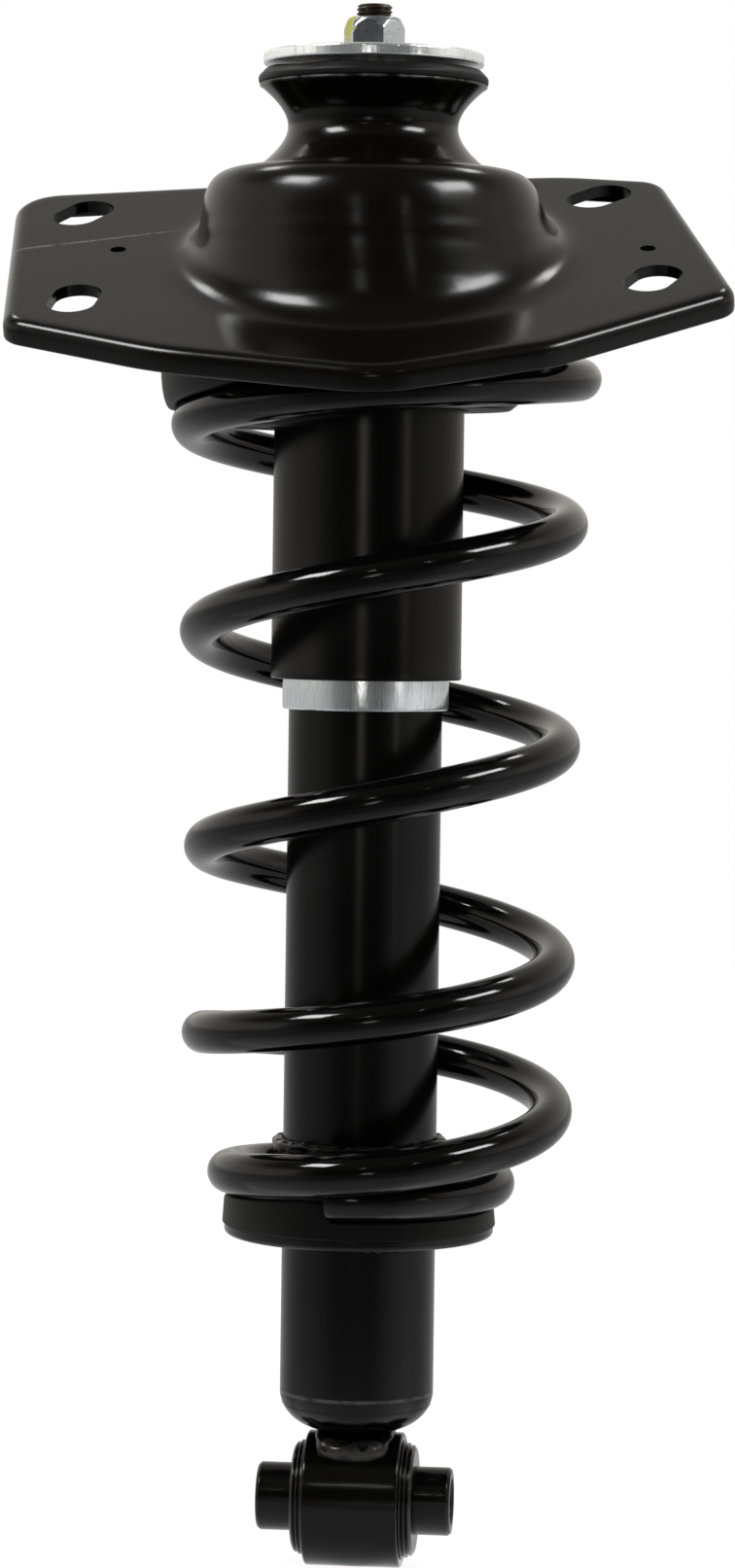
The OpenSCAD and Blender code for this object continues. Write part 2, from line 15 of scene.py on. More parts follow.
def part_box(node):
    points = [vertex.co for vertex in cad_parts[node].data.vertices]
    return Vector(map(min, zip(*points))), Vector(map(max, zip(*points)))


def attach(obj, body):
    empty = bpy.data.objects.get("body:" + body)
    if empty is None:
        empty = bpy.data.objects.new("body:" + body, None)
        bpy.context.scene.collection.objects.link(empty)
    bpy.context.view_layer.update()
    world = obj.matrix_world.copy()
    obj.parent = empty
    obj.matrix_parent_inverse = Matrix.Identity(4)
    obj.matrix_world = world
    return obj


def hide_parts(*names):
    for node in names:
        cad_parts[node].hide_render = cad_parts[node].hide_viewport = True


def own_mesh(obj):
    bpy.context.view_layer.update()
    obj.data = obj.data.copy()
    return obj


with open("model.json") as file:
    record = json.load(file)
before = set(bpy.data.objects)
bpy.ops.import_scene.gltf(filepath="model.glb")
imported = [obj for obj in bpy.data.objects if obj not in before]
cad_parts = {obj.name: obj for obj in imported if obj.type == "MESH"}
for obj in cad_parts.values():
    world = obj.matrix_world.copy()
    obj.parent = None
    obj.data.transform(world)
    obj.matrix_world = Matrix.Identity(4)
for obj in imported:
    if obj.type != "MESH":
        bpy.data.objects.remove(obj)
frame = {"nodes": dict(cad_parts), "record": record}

LOG = logging.getLogger("strut")
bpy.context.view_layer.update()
MM = 0.001
Array = np.ndarray
Triple = tuple[float, float, float]
Colour = Triple  # red, green, blue
Corner = Triple  # radius, height, rounding
Stops = tuple[tuple[float, float], ...]  # (place, value) of a table
CREASE = 40.0  # degrees over which an edge stays sharp
MERGE_MM = 1e-3
SLIVER_M = 1e-7


# ---------------------------------------------------------------- surfaces


def full_turn(count: int) -> Array:
    """Even angles in radians from 0 up to a full turn, which is left out."""
    return np.linspace(0, 2 * math.pi, count, endpoint=False)


def arc(x: float, y: float, r: float, start: float, end: float, steps: int = 8) -> Array:
    """Points on a circle's arc: centre plus radius times the cosine and sine of even angles.

    Args:
        x, y: Centre.
        r: Radius.
        start, end: Angles in degrees.
        steps: Number of chords.

    Returns:
        Array of steps + 1 points.
    """
    a = np.radians(np.linspace(start, end, steps + 1))
    return np.stack([x + r * np.cos(a), y + r * np.sin(a)], axis=1)


def fillet(corners: list[Corner], steps: int = 5, closed: bool = True) -> Array:
    """Rounds each corner by an arc tangent to both sides, with a support point beyond each arc's end.

    Args:
        corners: (x, y, radius) of each corner; a radius of 0 keeps the corner sharp.
        steps: Chords for each arc.
        closed: Whether the line returns to its start.

    Returns:
        Points of the rounded line.
    """
    most_of_side, straight, support = 0.48, math.radians(89), 0.2
    points = [np.array(c[:2], dtype=float) for c in corners]
    count = len(points)
    out: list[Array] = []
    for i, radius in enumerate(c[2] for c in corners):
        if radius <= 0 or (not closed and i in (0, count - 1)):
            out.append(points[i][None])
            continue
        before, after = points[i - 1] - points[i], points[(i + 1) % count] - points[i]
        la, lb = np.linalg.norm(before), np.linalg.norm(after)
        a, b = before / la, after / lb
        half = math.acos(float(np.clip(a @ b, -1, 1))) / 2
        if half > straight:
            out.append(points[i][None])
            continue
        run = min(radius / math.tan(half), most_of_side * la, most_of_side * lb)
        r = run * math.tan(half)
        centre = points[i] + (a + b) / np.linalg.norm(a + b) * r / math.sin(half)
        p, q = points[i] + a * run, points[i] + b * run
        u, v = p - centre, q - centre
        sweep = math.atan2(u[0] * v[1] - u[1] * v[0], float(u @ v))
        t = np.linspace(0, sweep, steps + 1)[:, None]
        bend = centre + u * np.cos(t) + np.array([-u[1], u[0]]) * np.sin(t)
        beyond = min(run * 0.3, support)
        out += [(p + a * beyond)[None], bend, (q + b * beyond)[None]]
    return np.concatenate(out)


def mirrored(side: list[Corner]) -> list[Corner]:
    """Corners of a section's one half, then the same ones mirrored in height, in the order of one closed line."""
    return side + [(r, -x, radius) for r, x, radius in reversed(side)]


def grid_faces(rows: int, columns: int, wrap_rows: bool, wrap_columns: bool) -> Array:
    """Quads of a grid: each cell joins a point with its neighbours along both ways.

    Args:
        rows, columns: Size of the grid.
        wrap_rows, wrap_columns: Whether the last row or column joins the first.

    Returns:
        Array of four vertex numbers for each face.
    """
    i = np.arange(rows if wrap_rows else rows - 1)[:, None]
    j = np.arange(columns if wrap_columns else columns - 1)[None]
    ni, nj = (i + 1) % rows, (j + 1) % columns
    quads = np.stack([i * columns + j, i * columns + nj, ni * columns + nj, ni * columns + j], axis=-1)
    return quads.reshape(-1, 4)


def make_mesh(name: str, points: Array, faces: Array | list, crease: float = CREASE) -> bpy.types.Object:
    """Puts points and faces into a closed, smooth mesh whose faces point outwards.

    Args:
        name: The object's name.
        points: Vertices in millimetres.
        faces: Vertex numbers of each face.
        crease: Angle in degrees over which an edge stays sharp.

    Returns:
        The new object.
    """
    mesh = bpy.data.meshes.new(name)
    faces = faces.tolist() if isinstance(faces, np.ndarray) else faces
    mesh.from_pydata((points.reshape(-1, 3) * MM).tolist(), [], faces)
    work = bmesh.new()
    work.from_mesh(mesh)
    bmesh.ops.remove_doubles(work, verts=work.verts, dist=MERGE_MM * MM)
    bmesh.ops.dissolve_degenerate(work, dist=SLIVER_M, edges=work.edges)
    bmesh.ops.recalc_face_normals(work, faces=work.faces)
    work.to_mesh(mesh)
    work.free()
    finish_mesh(mesh, crease)
    piece = bpy.data.objects.new(name, mesh)
    bpy.context.scene.collection.objects.link(piece)
    return piece


def finish_mesh(mesh: bpy.types.Mesh, crease: float) -> None:
    """Shades a mesh smooth and marks its sharp edges.

    Args:
        mesh: The mesh.
        crease: Angle in degrees over which an edge stays sharp.
    """
    mesh.polygons.foreach_set("use_smooth", np.ones(len(mesh.polygons), dtype=bool))
    mesh.set_sharp_from_angle(angle=math.radians(crease))
    mesh.update()


class Axis(Enum):
    """The line that a turned piece is turned about."""

    STRUT = "z"
    EYE = "x"


def lathe(name: str, section: Array, segments: int = 160, axis: Axis = Axis.STRUT, closed: bool = True,
          crease: float = CREASE, out: Array | float = 0.0, rise: Array | float = 0.0) -> bpy.types.Object:
    """Turns a section about an axis: (r cos a, r sin a, z) for each section point and each even angle a.

    Args:
        name: The object's name.
        section: (radius, height) points in millimetres.
        segments: Number of angles.
        axis: What it is turned about.
        closed: Whether the section returns to its start; if not, its ends lie on the axis.
        crease: Angle in degrees over which an edge stays sharp.
        out, rise: Added to radius and height, for each angle and each section point.

    Returns:
        The new object.
    """
    a = full_turn(segments)[:, None]
    r, z = (np.broadcast_to(section[:, k] + move, (segments, len(section))) for k, move in enumerate((out, rise)))
    ring = np.stack([r * np.cos(a), r * np.sin(a), z], axis=-1)
    if axis is Axis.EYE:
        ring = ring[..., [2, 0, 1]]
    return make_mesh(name, ring, grid_faces(segments, len(section), True, closed), crease)


def sweep(name: str, line: Array, radii: Array, sides: int, closed: bool = False) -> bpy.types.Object:
    """Carries a circle along a line: each point is the line plus radius times (side cos b + rise sin b).

    Args:
        name: The object's name.
        line: Points of the line.
        radii: Radius at each point, or at each point and side.
        sides: Points of the circle.
        closed: Whether the line returns to its start.

    Returns:
        The new object.
    """
    along = np.roll(line, -1, 0) - np.roll(line, 1, 0) if closed else np.gradient(line, axis=0)
    along = along / np.maximum(np.linalg.norm(along, axis=1, keepdims=True), 1e-9)
    side = np.cross(along, [0.0, 0.0, 1.0])
    side /= np.maximum(np.linalg.norm(side, axis=1, keepdims=True), 1e-9)
    rise = np.cross(side, along)
    b = full_turn(sides)[None, :, None]
    ring = side[:, None] * np.cos(b) + rise[:, None] * np.sin(b)
    points = line[:, None] + ring * np.broadcast_to(radii, (len(line), sides))[..., None]
    return make_mesh(name, points, grid_faces(len(line), sides, closed, True), crease=35)


def smooth_rows(rows: Array, sigma: float) -> Array:
    """Blurs each row by a bell curve of width sigma samples, with its end values held.

    Args:
        rows: Array (rows, samples).
        sigma: Width of the bell.

    Returns:
        Array of the same shape.
    """
    reach = int(3 * sigma)
    taps = np.exp(-0.5 * (np.arange(-reach, reach + 1) / sigma) ** 2)
    padded = np.pad(rows, ((0, 0), (reach, reach)), mode="edge")
    windows = np.lib.stride_tricks.sliding_window_view(padded, 2 * reach + 1, axis=1)
    return windows @ (taps / taps.sum())


def ripples(angles: Array, seed: int, waves: tuple[int, ...]) -> Array:
    """Sum of cosines round a ring, each with its own phase, scaled to about one.

    Args:
        angles: Angles in radians.
        seed: Picks the phases.
        waves: Number of waves round the ring in each term.

    Returns:
        Values at the angles.
    """
    phases = np.random.default_rng(seed).uniform(0, 2 * math.pi, len(waves))
    return sum(np.cos(w * angles + p) for w, p in zip(waves, phases)) / len(waves)


# ---------------------------------------------------------------- shader maths


@dataclass
class Term:
    """A socket in a material's maths: the usual operators on it add Math nodes."""

    graph: "Graph"
    socket: bpy.types.NodeSocket

    def _math(self, operation: str, *values: "Term | float") -> "Term":
        """Adds one Math node on the given values."""
        return self.graph.term("ShaderNodeMath", {"operation": operation}, *values)

    def __add__(self, other: "Term | float") -> "Term":
        """Sum."""
        return self._math("ADD", self, other)

    def __sub__(self, other: "Term | float") -> "Term":
        """Difference."""
        return self._math("SUBTRACT", self, other)

    def __mul__(self, other: "Term | float") -> "Term":
        """Product."""
        return self._math("MULTIPLY", self, other)

    def __rsub__(self, other: float) -> "Term":
        """Difference from a number, so that 1 - mask works."""
        return self._math("SUBTRACT", other, self)

    def __truediv__(self, other: "Term | float") -> "Term":
        """Quotient."""
        return self._math("DIVIDE", self, other)

    def absolute(self) -> "Term":
        """Value without its sign."""
        return self._math("ABSOLUTE", self)

    def step(self, low: float, high: float) -> "Term":
        """Smooth step, eased between its two ends.

        Args:
            low, high: Where it is 0 and where it is 1; low may be the larger.

        Returns:
            The step.
        """
        node = self.graph.node("ShaderNodeMapRange", {"interpolation_type": "SMOOTHSTEP"},
                               {"Value": self, "From Min": low, "From Max": high})
        return Term(self.graph, node.outputs["Result"])

    __radd__, __rmul__ = __add__, __mul__


class Graph:
    """The nodes of one material, or of the world."""

    def __init__(self, owner: bpy.types.Material | bpy.types.World, space: str = "Object") -> None:
        """Clears the owner's nodes and reads the place, or the direction, that is being shaded.

        Args:
            owner: The new material or world.
            space: Which coordinates to read.
        """
        self.owner = owner
        owner.use_nodes = True
        self.tree = owner.node_tree
        self.tree.nodes.clear()
        place = self.node("ShaderNodeTexCoord")
        self.place = Term(self, place.outputs[space])
        parts = self.node("ShaderNodeSeparateXYZ", {}, {"Vector": self.place})
        self.x, self.y, self.z = (Term(self, parts.outputs[k]) for k in "XYZ")

    def node(self, kind: str, settings: dict | None = None, inputs: dict | None = None) -> bpy.types.Node:
        """Adds a node, sets its options, then its inputs.

        Args:
            kind: Node type.
            settings: Option names and values; "stops" is a ramp's list of (place, colour).
            inputs: Socket names or numbers, with values or terms.

        Returns:
            The node.
        """
        node = self.tree.nodes.new(kind)
        for key, value in (settings or {}).items():
            if key == "stops":
                ramp = node.color_ramp
                while len(ramp.elements) < len(value):
                    ramp.elements.new(0.5)
                for element, (place, colour) in zip(ramp.elements, value):
                    element.position, element.color = place, (*colour, 1)
            else:
                setattr(node, key, value)
        for key, value in (inputs or {}).items():
            if isinstance(value, Term):
                self.tree.links.new(value.socket, node.inputs[key])
            else:
                node.inputs[key].default_value = value
        return node

    def term(self, kind: str, settings: dict, *values: "Term | float") -> Term:
        """Adds a node on plain values and returns its first output."""
        return Term(self, self.node(kind, settings, dict(enumerate(values))).outputs[0])

    def clouds(self, at: Term, scale: float, detail: float, distortion: float = 0.0) -> Term:
        """Cloudy pattern with values about one half, read at a place.

        Args:
            at: Where it is read.
            scale: Features for each unit of the place.
            detail: Octaves.
            distortion: How much the pattern swirls.

        Returns:
            The pattern.
        """
        inputs = {"Vector": at, "Scale": scale, "Detail": detail, "Distortion": distortion}
        return Term(self, self.node("ShaderNodeTexNoise", {}, inputs).outputs[0])

    def noise(self, scale: float, detail: float, distortion: float = 0.0) -> Term:
        """Cloudy pattern laid through the piece, its scale in features for each metre."""
        return self.clouds(self.place, scale, detail, distortion)

    def around(self, scale: float, along: float, detail: float) -> Term:
        """Cloudy pattern laid round the strut's axis: read at (cos a, sin a, height).

        Args:
            scale: Features for each radian or so.
            along: Scale of the height against that of the angle.
            detail: Octaves.

        Returns:
            The pattern.
        """
        flat = self.node("ShaderNodeCombineXYZ", {}, {"X": self.x, "Y": self.y, "Z": 0.0})
        unit = self.node("ShaderNodeVectorMath", {"operation": "NORMALIZE"}, {0: Term(self, flat.outputs[0])})
        parts = self.node("ShaderNodeSeparateXYZ", {}, {"Vector": Term(self, unit.outputs[0])})
        at = self.node("ShaderNodeCombineXYZ", {}, {
            "X": Term(self, parts.outputs["X"]), "Y": Term(self, parts.outputs["Y"]), "Z": self.z * along})
        return self.clouds(Term(self, at.outputs[0]), scale, detail)

    def length(self) -> Term:
        """Distance from the origin."""
        node = self.node("ShaderNodeVectorMath", {"operation": "LENGTH"}, {0: self.place})
        return Term(self, node.outputs["Value"])

    def azimuth(self, stops: Stops) -> Term:
        """Brightness by the angle about the strut, atan2(x, -y), read from a table.

        Args:
            stops: (angle in degrees, brightness), the angle 0 in front and 90 at the right.

        Returns:
            The brightness.
        """
        turn = self.term("ShaderNodeMath", {"operation": "ARCTAN2"}, self.x, 0 - self.y) / (2 * math.pi) + 0.5
        ramp = self.node("ShaderNodeValToRGB", {"stops": [(a / 360 + 0.5, (v, v, v)) for a, v in stops]}, {0: turn})
        return Term(self, ramp.outputs[0])

    def blend(self, factor: "Term | float", a: "Term | float", b: "Term | float") -> Term:
        """Blends two values by a factor."""
        return factor * b + (1 - factor) * a

    def mix(self, factor: "Term | float", a: "Term | Colour", b: "Term | Colour") -> Term:
        """Blends two colours.

        Args:
            factor: 0 for the first colour, 1 for the second.
            a, b: The colours.

        Returns:
            The blend.
        """
        first, second = (c if isinstance(c, Term) else (*c, 1.0) for c in (a, b))
        node = self.node("ShaderNodeMix", {"data_type": "RGBA"}, {"Factor": factor, 6: first, 7: second})
        return Term(self, node.outputs[2])

    def finish(self, colour: Term, roughness: Term, height: Term, depth: float,
               metallic: "Term | float" = 0.0, specular: float = 0.5) -> bpy.types.Material:
        """Joins the shader to the output.

        Args:
            colour, roughness, metallic: What varies over the surface; metallic may be a constant.
            height: Relief for the bump.
            depth: Its depth in metres.
            specular: Strength of the reflection on what isn't metal.

        Returns:
            The material.
        """
        bump = self.node("ShaderNodeBump", {}, {"Height": height, "Distance": depth, "Strength": 1.0})
        shader = self.node("ShaderNodeBsdfPrincipled", {}, {
            "Base Color": colour, "Roughness": roughness, "Metallic": metallic, "Specular IOR Level": specular,
            "Normal": Term(self, bump.outputs[0])})
        self.node("ShaderNodeOutputMaterial", {}, {"Surface": Term(self, shader.outputs[0])})
        return self.owner


# ---------------------------------------------------------------- finishes


def lifted(colour: Colour, by: float) -> Colour:
    """A colour made paler by the same amount in each channel."""
    return tuple(min(1.0, c + by) for c in colour)


@dataclass(frozen=True)
class BlackPaint:
    """Black paint with orange peel, faint clouding and dust specks; it may have a thin pale line, a painted
    highlight along a fold, and a rough band of another tone.

    The line is (slope, start, low x, high x) in the strut's plan; the band is (low, high) on the strut's axis.
    """

    name: str
    colour: Colour
    roughness: float
    spread: float = 0.06
    peel: float = 0.00002
    peel_scale: float = 420.0
    dust: float = 0.02
    specular: float = 0.2
    line: tuple[float, float, float, float] | None = None
    line_tone: Colour = (0.16, 0.155, 0.15)
    line_waver: float = 0.0012
    line_side: tuple[float, float] = (0.0011, 0.0002)
    line_fade: tuple[float, float] = (0.012, 0.02)
    band: tuple[float, float] | None = None
    band_tone: float = 0.09
    band_relief: float = 8.0
    band_edge: float = 0.0004

    def scribed(self, g: Graph) -> Term:
        """Mask of the thin pale line, a painted highlight along a fold: near a wavering straight line, between its
        two ends, and broken up.

        Args:
            g: The material's nodes.

        Returns:
            The mask.
        """
        slope, start, low, high = self.line
        fade_in, fade_out = self.line_fade
        across = (g.y - g.x * slope - start + (g.noise(90, 2) - 0.5) * self.line_waver).absolute()
        fold_line_mask = across.step(*self.line_side) * g.x.step(low, low + fade_in) * g.x.step(high, high - fade_out)
        return fold_line_mask * g.noise(300, 3).step(0.25, 0.6)

    def build(self) -> bpy.types.Material:
        """Colour lifted where dust lies, roughness from clouding, relief from orange peel.

        Returns:
            The material.
        """
        g = Graph(bpy.data.materials.new(self.name))
        cloud = g.noise(22, 4)
        fine = g.noise(1600, 2)
        specks = fine.step(0.70, 0.78) * g.noise(60, 2).step(0.45, 0.7)
        rough = cloud * (2 * self.spread) + (self.roughness - self.spread) + specks * 0.2
        dusty = specks * 0.6 + cloud.step(0.45, 0.8) * 0.25
        colour = g.mix(dusty, self.colour, lifted(self.colour, self.dust))
        if self.line:
            # the pale line is a painted highlight along the fold where the flat plate meets the dome's flare
            colour = g.mix(self.scribed(g) * 0.5, colour, self.line_tone)
        height = g.noise(self.peel_scale, 2) + fine * 0.1
        if self.band:
            # band of another tone round the axis, broken up and bumped: weld spatter on the seat's collar, a
            # painted highlight along the tower's rim, and spatter with a painted highlight at the tube's seam
            low, high = self.band
            ring = g.z.step(low - self.band_edge, low) * g.z.step(high + self.band_edge, high)
            colour = g.mix(ring * g.noise(140, 4).step(0.35, 0.6), colour, (self.band_tone,) * 3)
            height = height + ring * g.noise(520, 3) * self.band_relief
        return g.finish(colour, rough, height, self.peel, specular=self.specular)


class Grain(Enum):
    """Which way the marks on a metal run."""

    ROUND = "round the strut"
    UPRIGHT = "along the strut"
    CLOUD = "no way"


@dataclass(frozen=True)
class BrightMetal:
    """Plated or machined steel with fine marks and a patchy haze."""

    name: str
    colour: Colour
    roughness: float
    grain: Grain
    haze: float = 0.12
    stain: Colour = (0.35, 0.33, 0.3)
    stain_share: float = 0.15
    relief: float = 0.00001
    metallic: float = 1.0
    streak: float = 0.12

    def build(self) -> bpy.types.Material:
        """Marks from noise stretched along the grain, haze and stain from clouds.

        Returns:
            The material.
        """
        g = Graph(bpy.data.materials.new(self.name))
        if self.grain is Grain.ROUND:
            marks = g.around(3, 4200, 4)
        elif self.grain is Grain.UPRIGHT:
            marks = g.around(30, 6, 4)
        else:
            marks = g.noise(700, 4)
        cloud = g.noise(120, 4, distortion=0.6)
        rough = marks * self.haze + cloud * self.haze + (self.roughness - self.haze)
        dull = cloud.step(0.5, 0.85) * self.stain_share + marks.step(0.5, 0.8) * self.streak
        colour = g.mix(dull, self.colour, self.stain)
        return g.finish(colour, rough, marks, self.relief, metallic=self.metallic)


@dataclass(frozen=True)
class Rubber:
    """Moulded rubber or foam with a fine grain and a dusty bloom."""

    name: str
    colour: Colour
    roughness: float
    bloom: float = 0.02
    grain: float = 900.0
    relief: float = 0.00004

    def build(self) -> bpy.types.Material:
        """Bloom from clouds, relief from grain and soft unevenness.

        Returns:
            The material.
        """
        g = Graph(bpy.data.materials.new(self.name))
        cloud, grain = g.noise(60, 4), g.noise(self.grain, 3)
        colour = g.mix(cloud.step(0.35, 0.75), self.colour, lifted(self.colour, self.bloom))
        rough = cloud * 0.16 + (self.roughness - 0.08)
        return g.finish(colour, rough, grain + cloud * 1.5, self.relief, specular=0.16)


@dataclass(frozen=True)
class NutMetal:
    """Bright zinc with a dab of yellow-green marking paint on one side."""

    name: str
    dab: Triple
    dab_reach: float
    zinc: Colour = (0.5, 0.54, 0.58)
    grime: Colour = (0.05, 0.045, 0.04)
    paint: Colour = (0.32, 0.31, 0.05)
    relief: float = 0.00008

    def build(self) -> bpy.types.Material:
        """Zinc, with paint where a noisy distance from the dab's centre is small.

        Returns:
            The material.
        """
        g = Graph(bpy.data.materials.new(self.name))
        cloud = g.noise(260, 4)
        off = g.node("ShaderNodeVectorMath", {"operation": "DISTANCE"}, {0: g.place, 1: self.dab})
        distance = Term(g, off.outputs["Value"]) + (g.noise(420, 3) - 0.5) * 0.009
        paint = distance.step(self.dab_reach, self.dab_reach * 0.8)
        metal = g.mix(g.noise(900, 3).step(0.6, 0.75) * 0.8, self.zinc, self.grime)
        return g.finish(g.mix(paint, metal, self.paint), cloud * 0.2 + paint * 0.3 + 0.08, cloud + paint * 2.0,
                        self.relief, metallic=1 - paint * 0.9)


@dataclass(frozen=True)
class WeldMetal:
    """Painted weld with dents in it, and a pale grey painted reflection on its flat face in front."""

    name: str
    colour: Colour
    pale: Colour
    reach: float
    face: tuple[float, float] = (-0.007, -0.010)
    relief: float = 0.0003

    def build(self) -> bpy.types.Material:
        """Painted reflection in pale grey on the front face between two ends, left dark where the dents are.

        Returns:
            The material.
        """
        g = Graph(bpy.data.materials.new(self.name))
        lumps = g.noise(300, 4)
        face = g.y.step(*self.face) * g.x.absolute().step(self.reach, self.reach * 0.85)
        # pale grey on the flat front face: a painted reflection, broken by dark dents
        colour = g.mix(face * g.noise(230, 3).step(0.6, 0.52), self.colour, self.pale)
        return g.finish(colour, lumps * 0.2 + 0.15, lumps, self.relief, specular=0.3)


BLACK = (0.0012, 0.0011, 0.0010)
PLATE_BLACK = (0.0018, 0.0014, 0.0011)
FINISHES = {finish.name: finish for finish in (
    # the plate's paint has a painted highlight along the fold at the dome's left
    BlackPaint("satin_black", PLATE_BLACK, 0.19, dust=0.005, specular=0.22, line=(0.327, 0.0341, -0.128, -0.060)),
    BlackPaint("gloss_black", BLACK, 0.19, dust=0.004, specular=0.22),
    BlackPaint("spring_black", (0.0010, 0.0010, 0.0010), 0.10, 0.05, dust=0.004, specular=0.26),
    BlackPaint("shield_black", (0.0016, 0.0013, 0.0013), 0.23, dust=0.003, specular=0.22),
    Rubber("rubber", (0.005, 0.005, 0.005), 0.45, bloom=0.004),
    Rubber("foam", (0.5, 0.42, 0.2), 0.85, bloom=0.06, grain=500.0, relief=0.0002),
    BrightMetal("zinc", (0.92, 0.96, 0.97), 0.16, Grain.UPRIGHT, haze=0.07, stain=(0.20, 0.18, 0.20),
                stain_share=0.05, metallic=0.88, streak=0.35, relief=0.00006),
    BrightMetal("plain_steel", (0.5, 0.5, 0.51), 0.32, Grain.ROUND),
    BrightMetal("sintered", (0.2, 0.2, 0.21), 0.5, Grain.CLOUD, relief=0.00005),
    BrightMetal("bronze", (0.6, 0.42, 0.2), 0.35, Grain.ROUND),
    Rubber("bearing_plastic", (0.06, 0.16, 0.12), 0.45, bloom=0.03),
)}


# ---------------------------------------------------------------- shared helpers


def low_z(node: str) -> float:
    """Lowest height of a node, in millimetres."""
    return float(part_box(node)[0][2]) / MM


def high_z(node: str) -> float:
    """Highest height of a node, in millimetres."""
    return float(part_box(node)[1][2]) / MM


def radius_of(node: str) -> float:
    """Half of a node's reach along X, in millimetres."""
    low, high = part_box(node)
    return float(high[0] - low[0]) / 2 / MM


def span(node: str) -> tuple[float, float, float]:
    """A node's lowest height, highest height and radius, in millimetres."""
    return low_z(node), high_z(node), radius_of(node)


@dataclass
class Dresser:
    """Gives pieces their body, their material and the node they stand for, and keeps count of those nodes."""

    materials: dict[str, bpy.types.Material] = field(default_factory=dict)
    owners: dict[str, str] = field(default_factory=dict)
    slots: dict[str, str] = field(default_factory=dict)
    replaced: set[str] = field(default_factory=set)

    def __post_init__(self) -> None:
        """Builds the finishes and reads which body and slot each node has."""
        self.materials = {name: finish.build() for name, finish in FINISHES.items()}
        record = frame["record"]
        for body, nodes in record["behaviour"]["bodies"].items():
            self.owners.update({node: body for node in nodes})
        self.slots = {part["node"]: part["material_slot"] for part in record["subparts"]}

    def dress(self, piece: bpy.types.Object, node: str,
              material: bpy.types.Material | None = None) -> bpy.types.Object:
        """Puts a new piece in a node's place.

        Args:
            piece: The new piece.
            node: The node it replaces.
            material: Its material, if not its slot's own.

        Returns:
            The piece.
        """
        slot = self.slots[node]
        piece.data.materials.clear()
        piece.data.materials.append(material or self.materials[slot])
        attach(piece, self.owners[node])
        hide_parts(node)
        self.replaced.add(node)
        LOG.info("%s: %d faces for %s", piece.name, len(piece.data.polygons), node)
        return piece

    def dress_rest(self) -> None:
        """Gives the nodes that keep their own mesh their slot's material."""
        for name, piece in frame["nodes"].items():
            if name not in self.replaced:
                for slot in piece.material_slots:
                    slot.material = self.materials[self.slots[name]]
                LOG.info("%s keeps its solid", name)


# ---------------------------------------------------------------- top mount


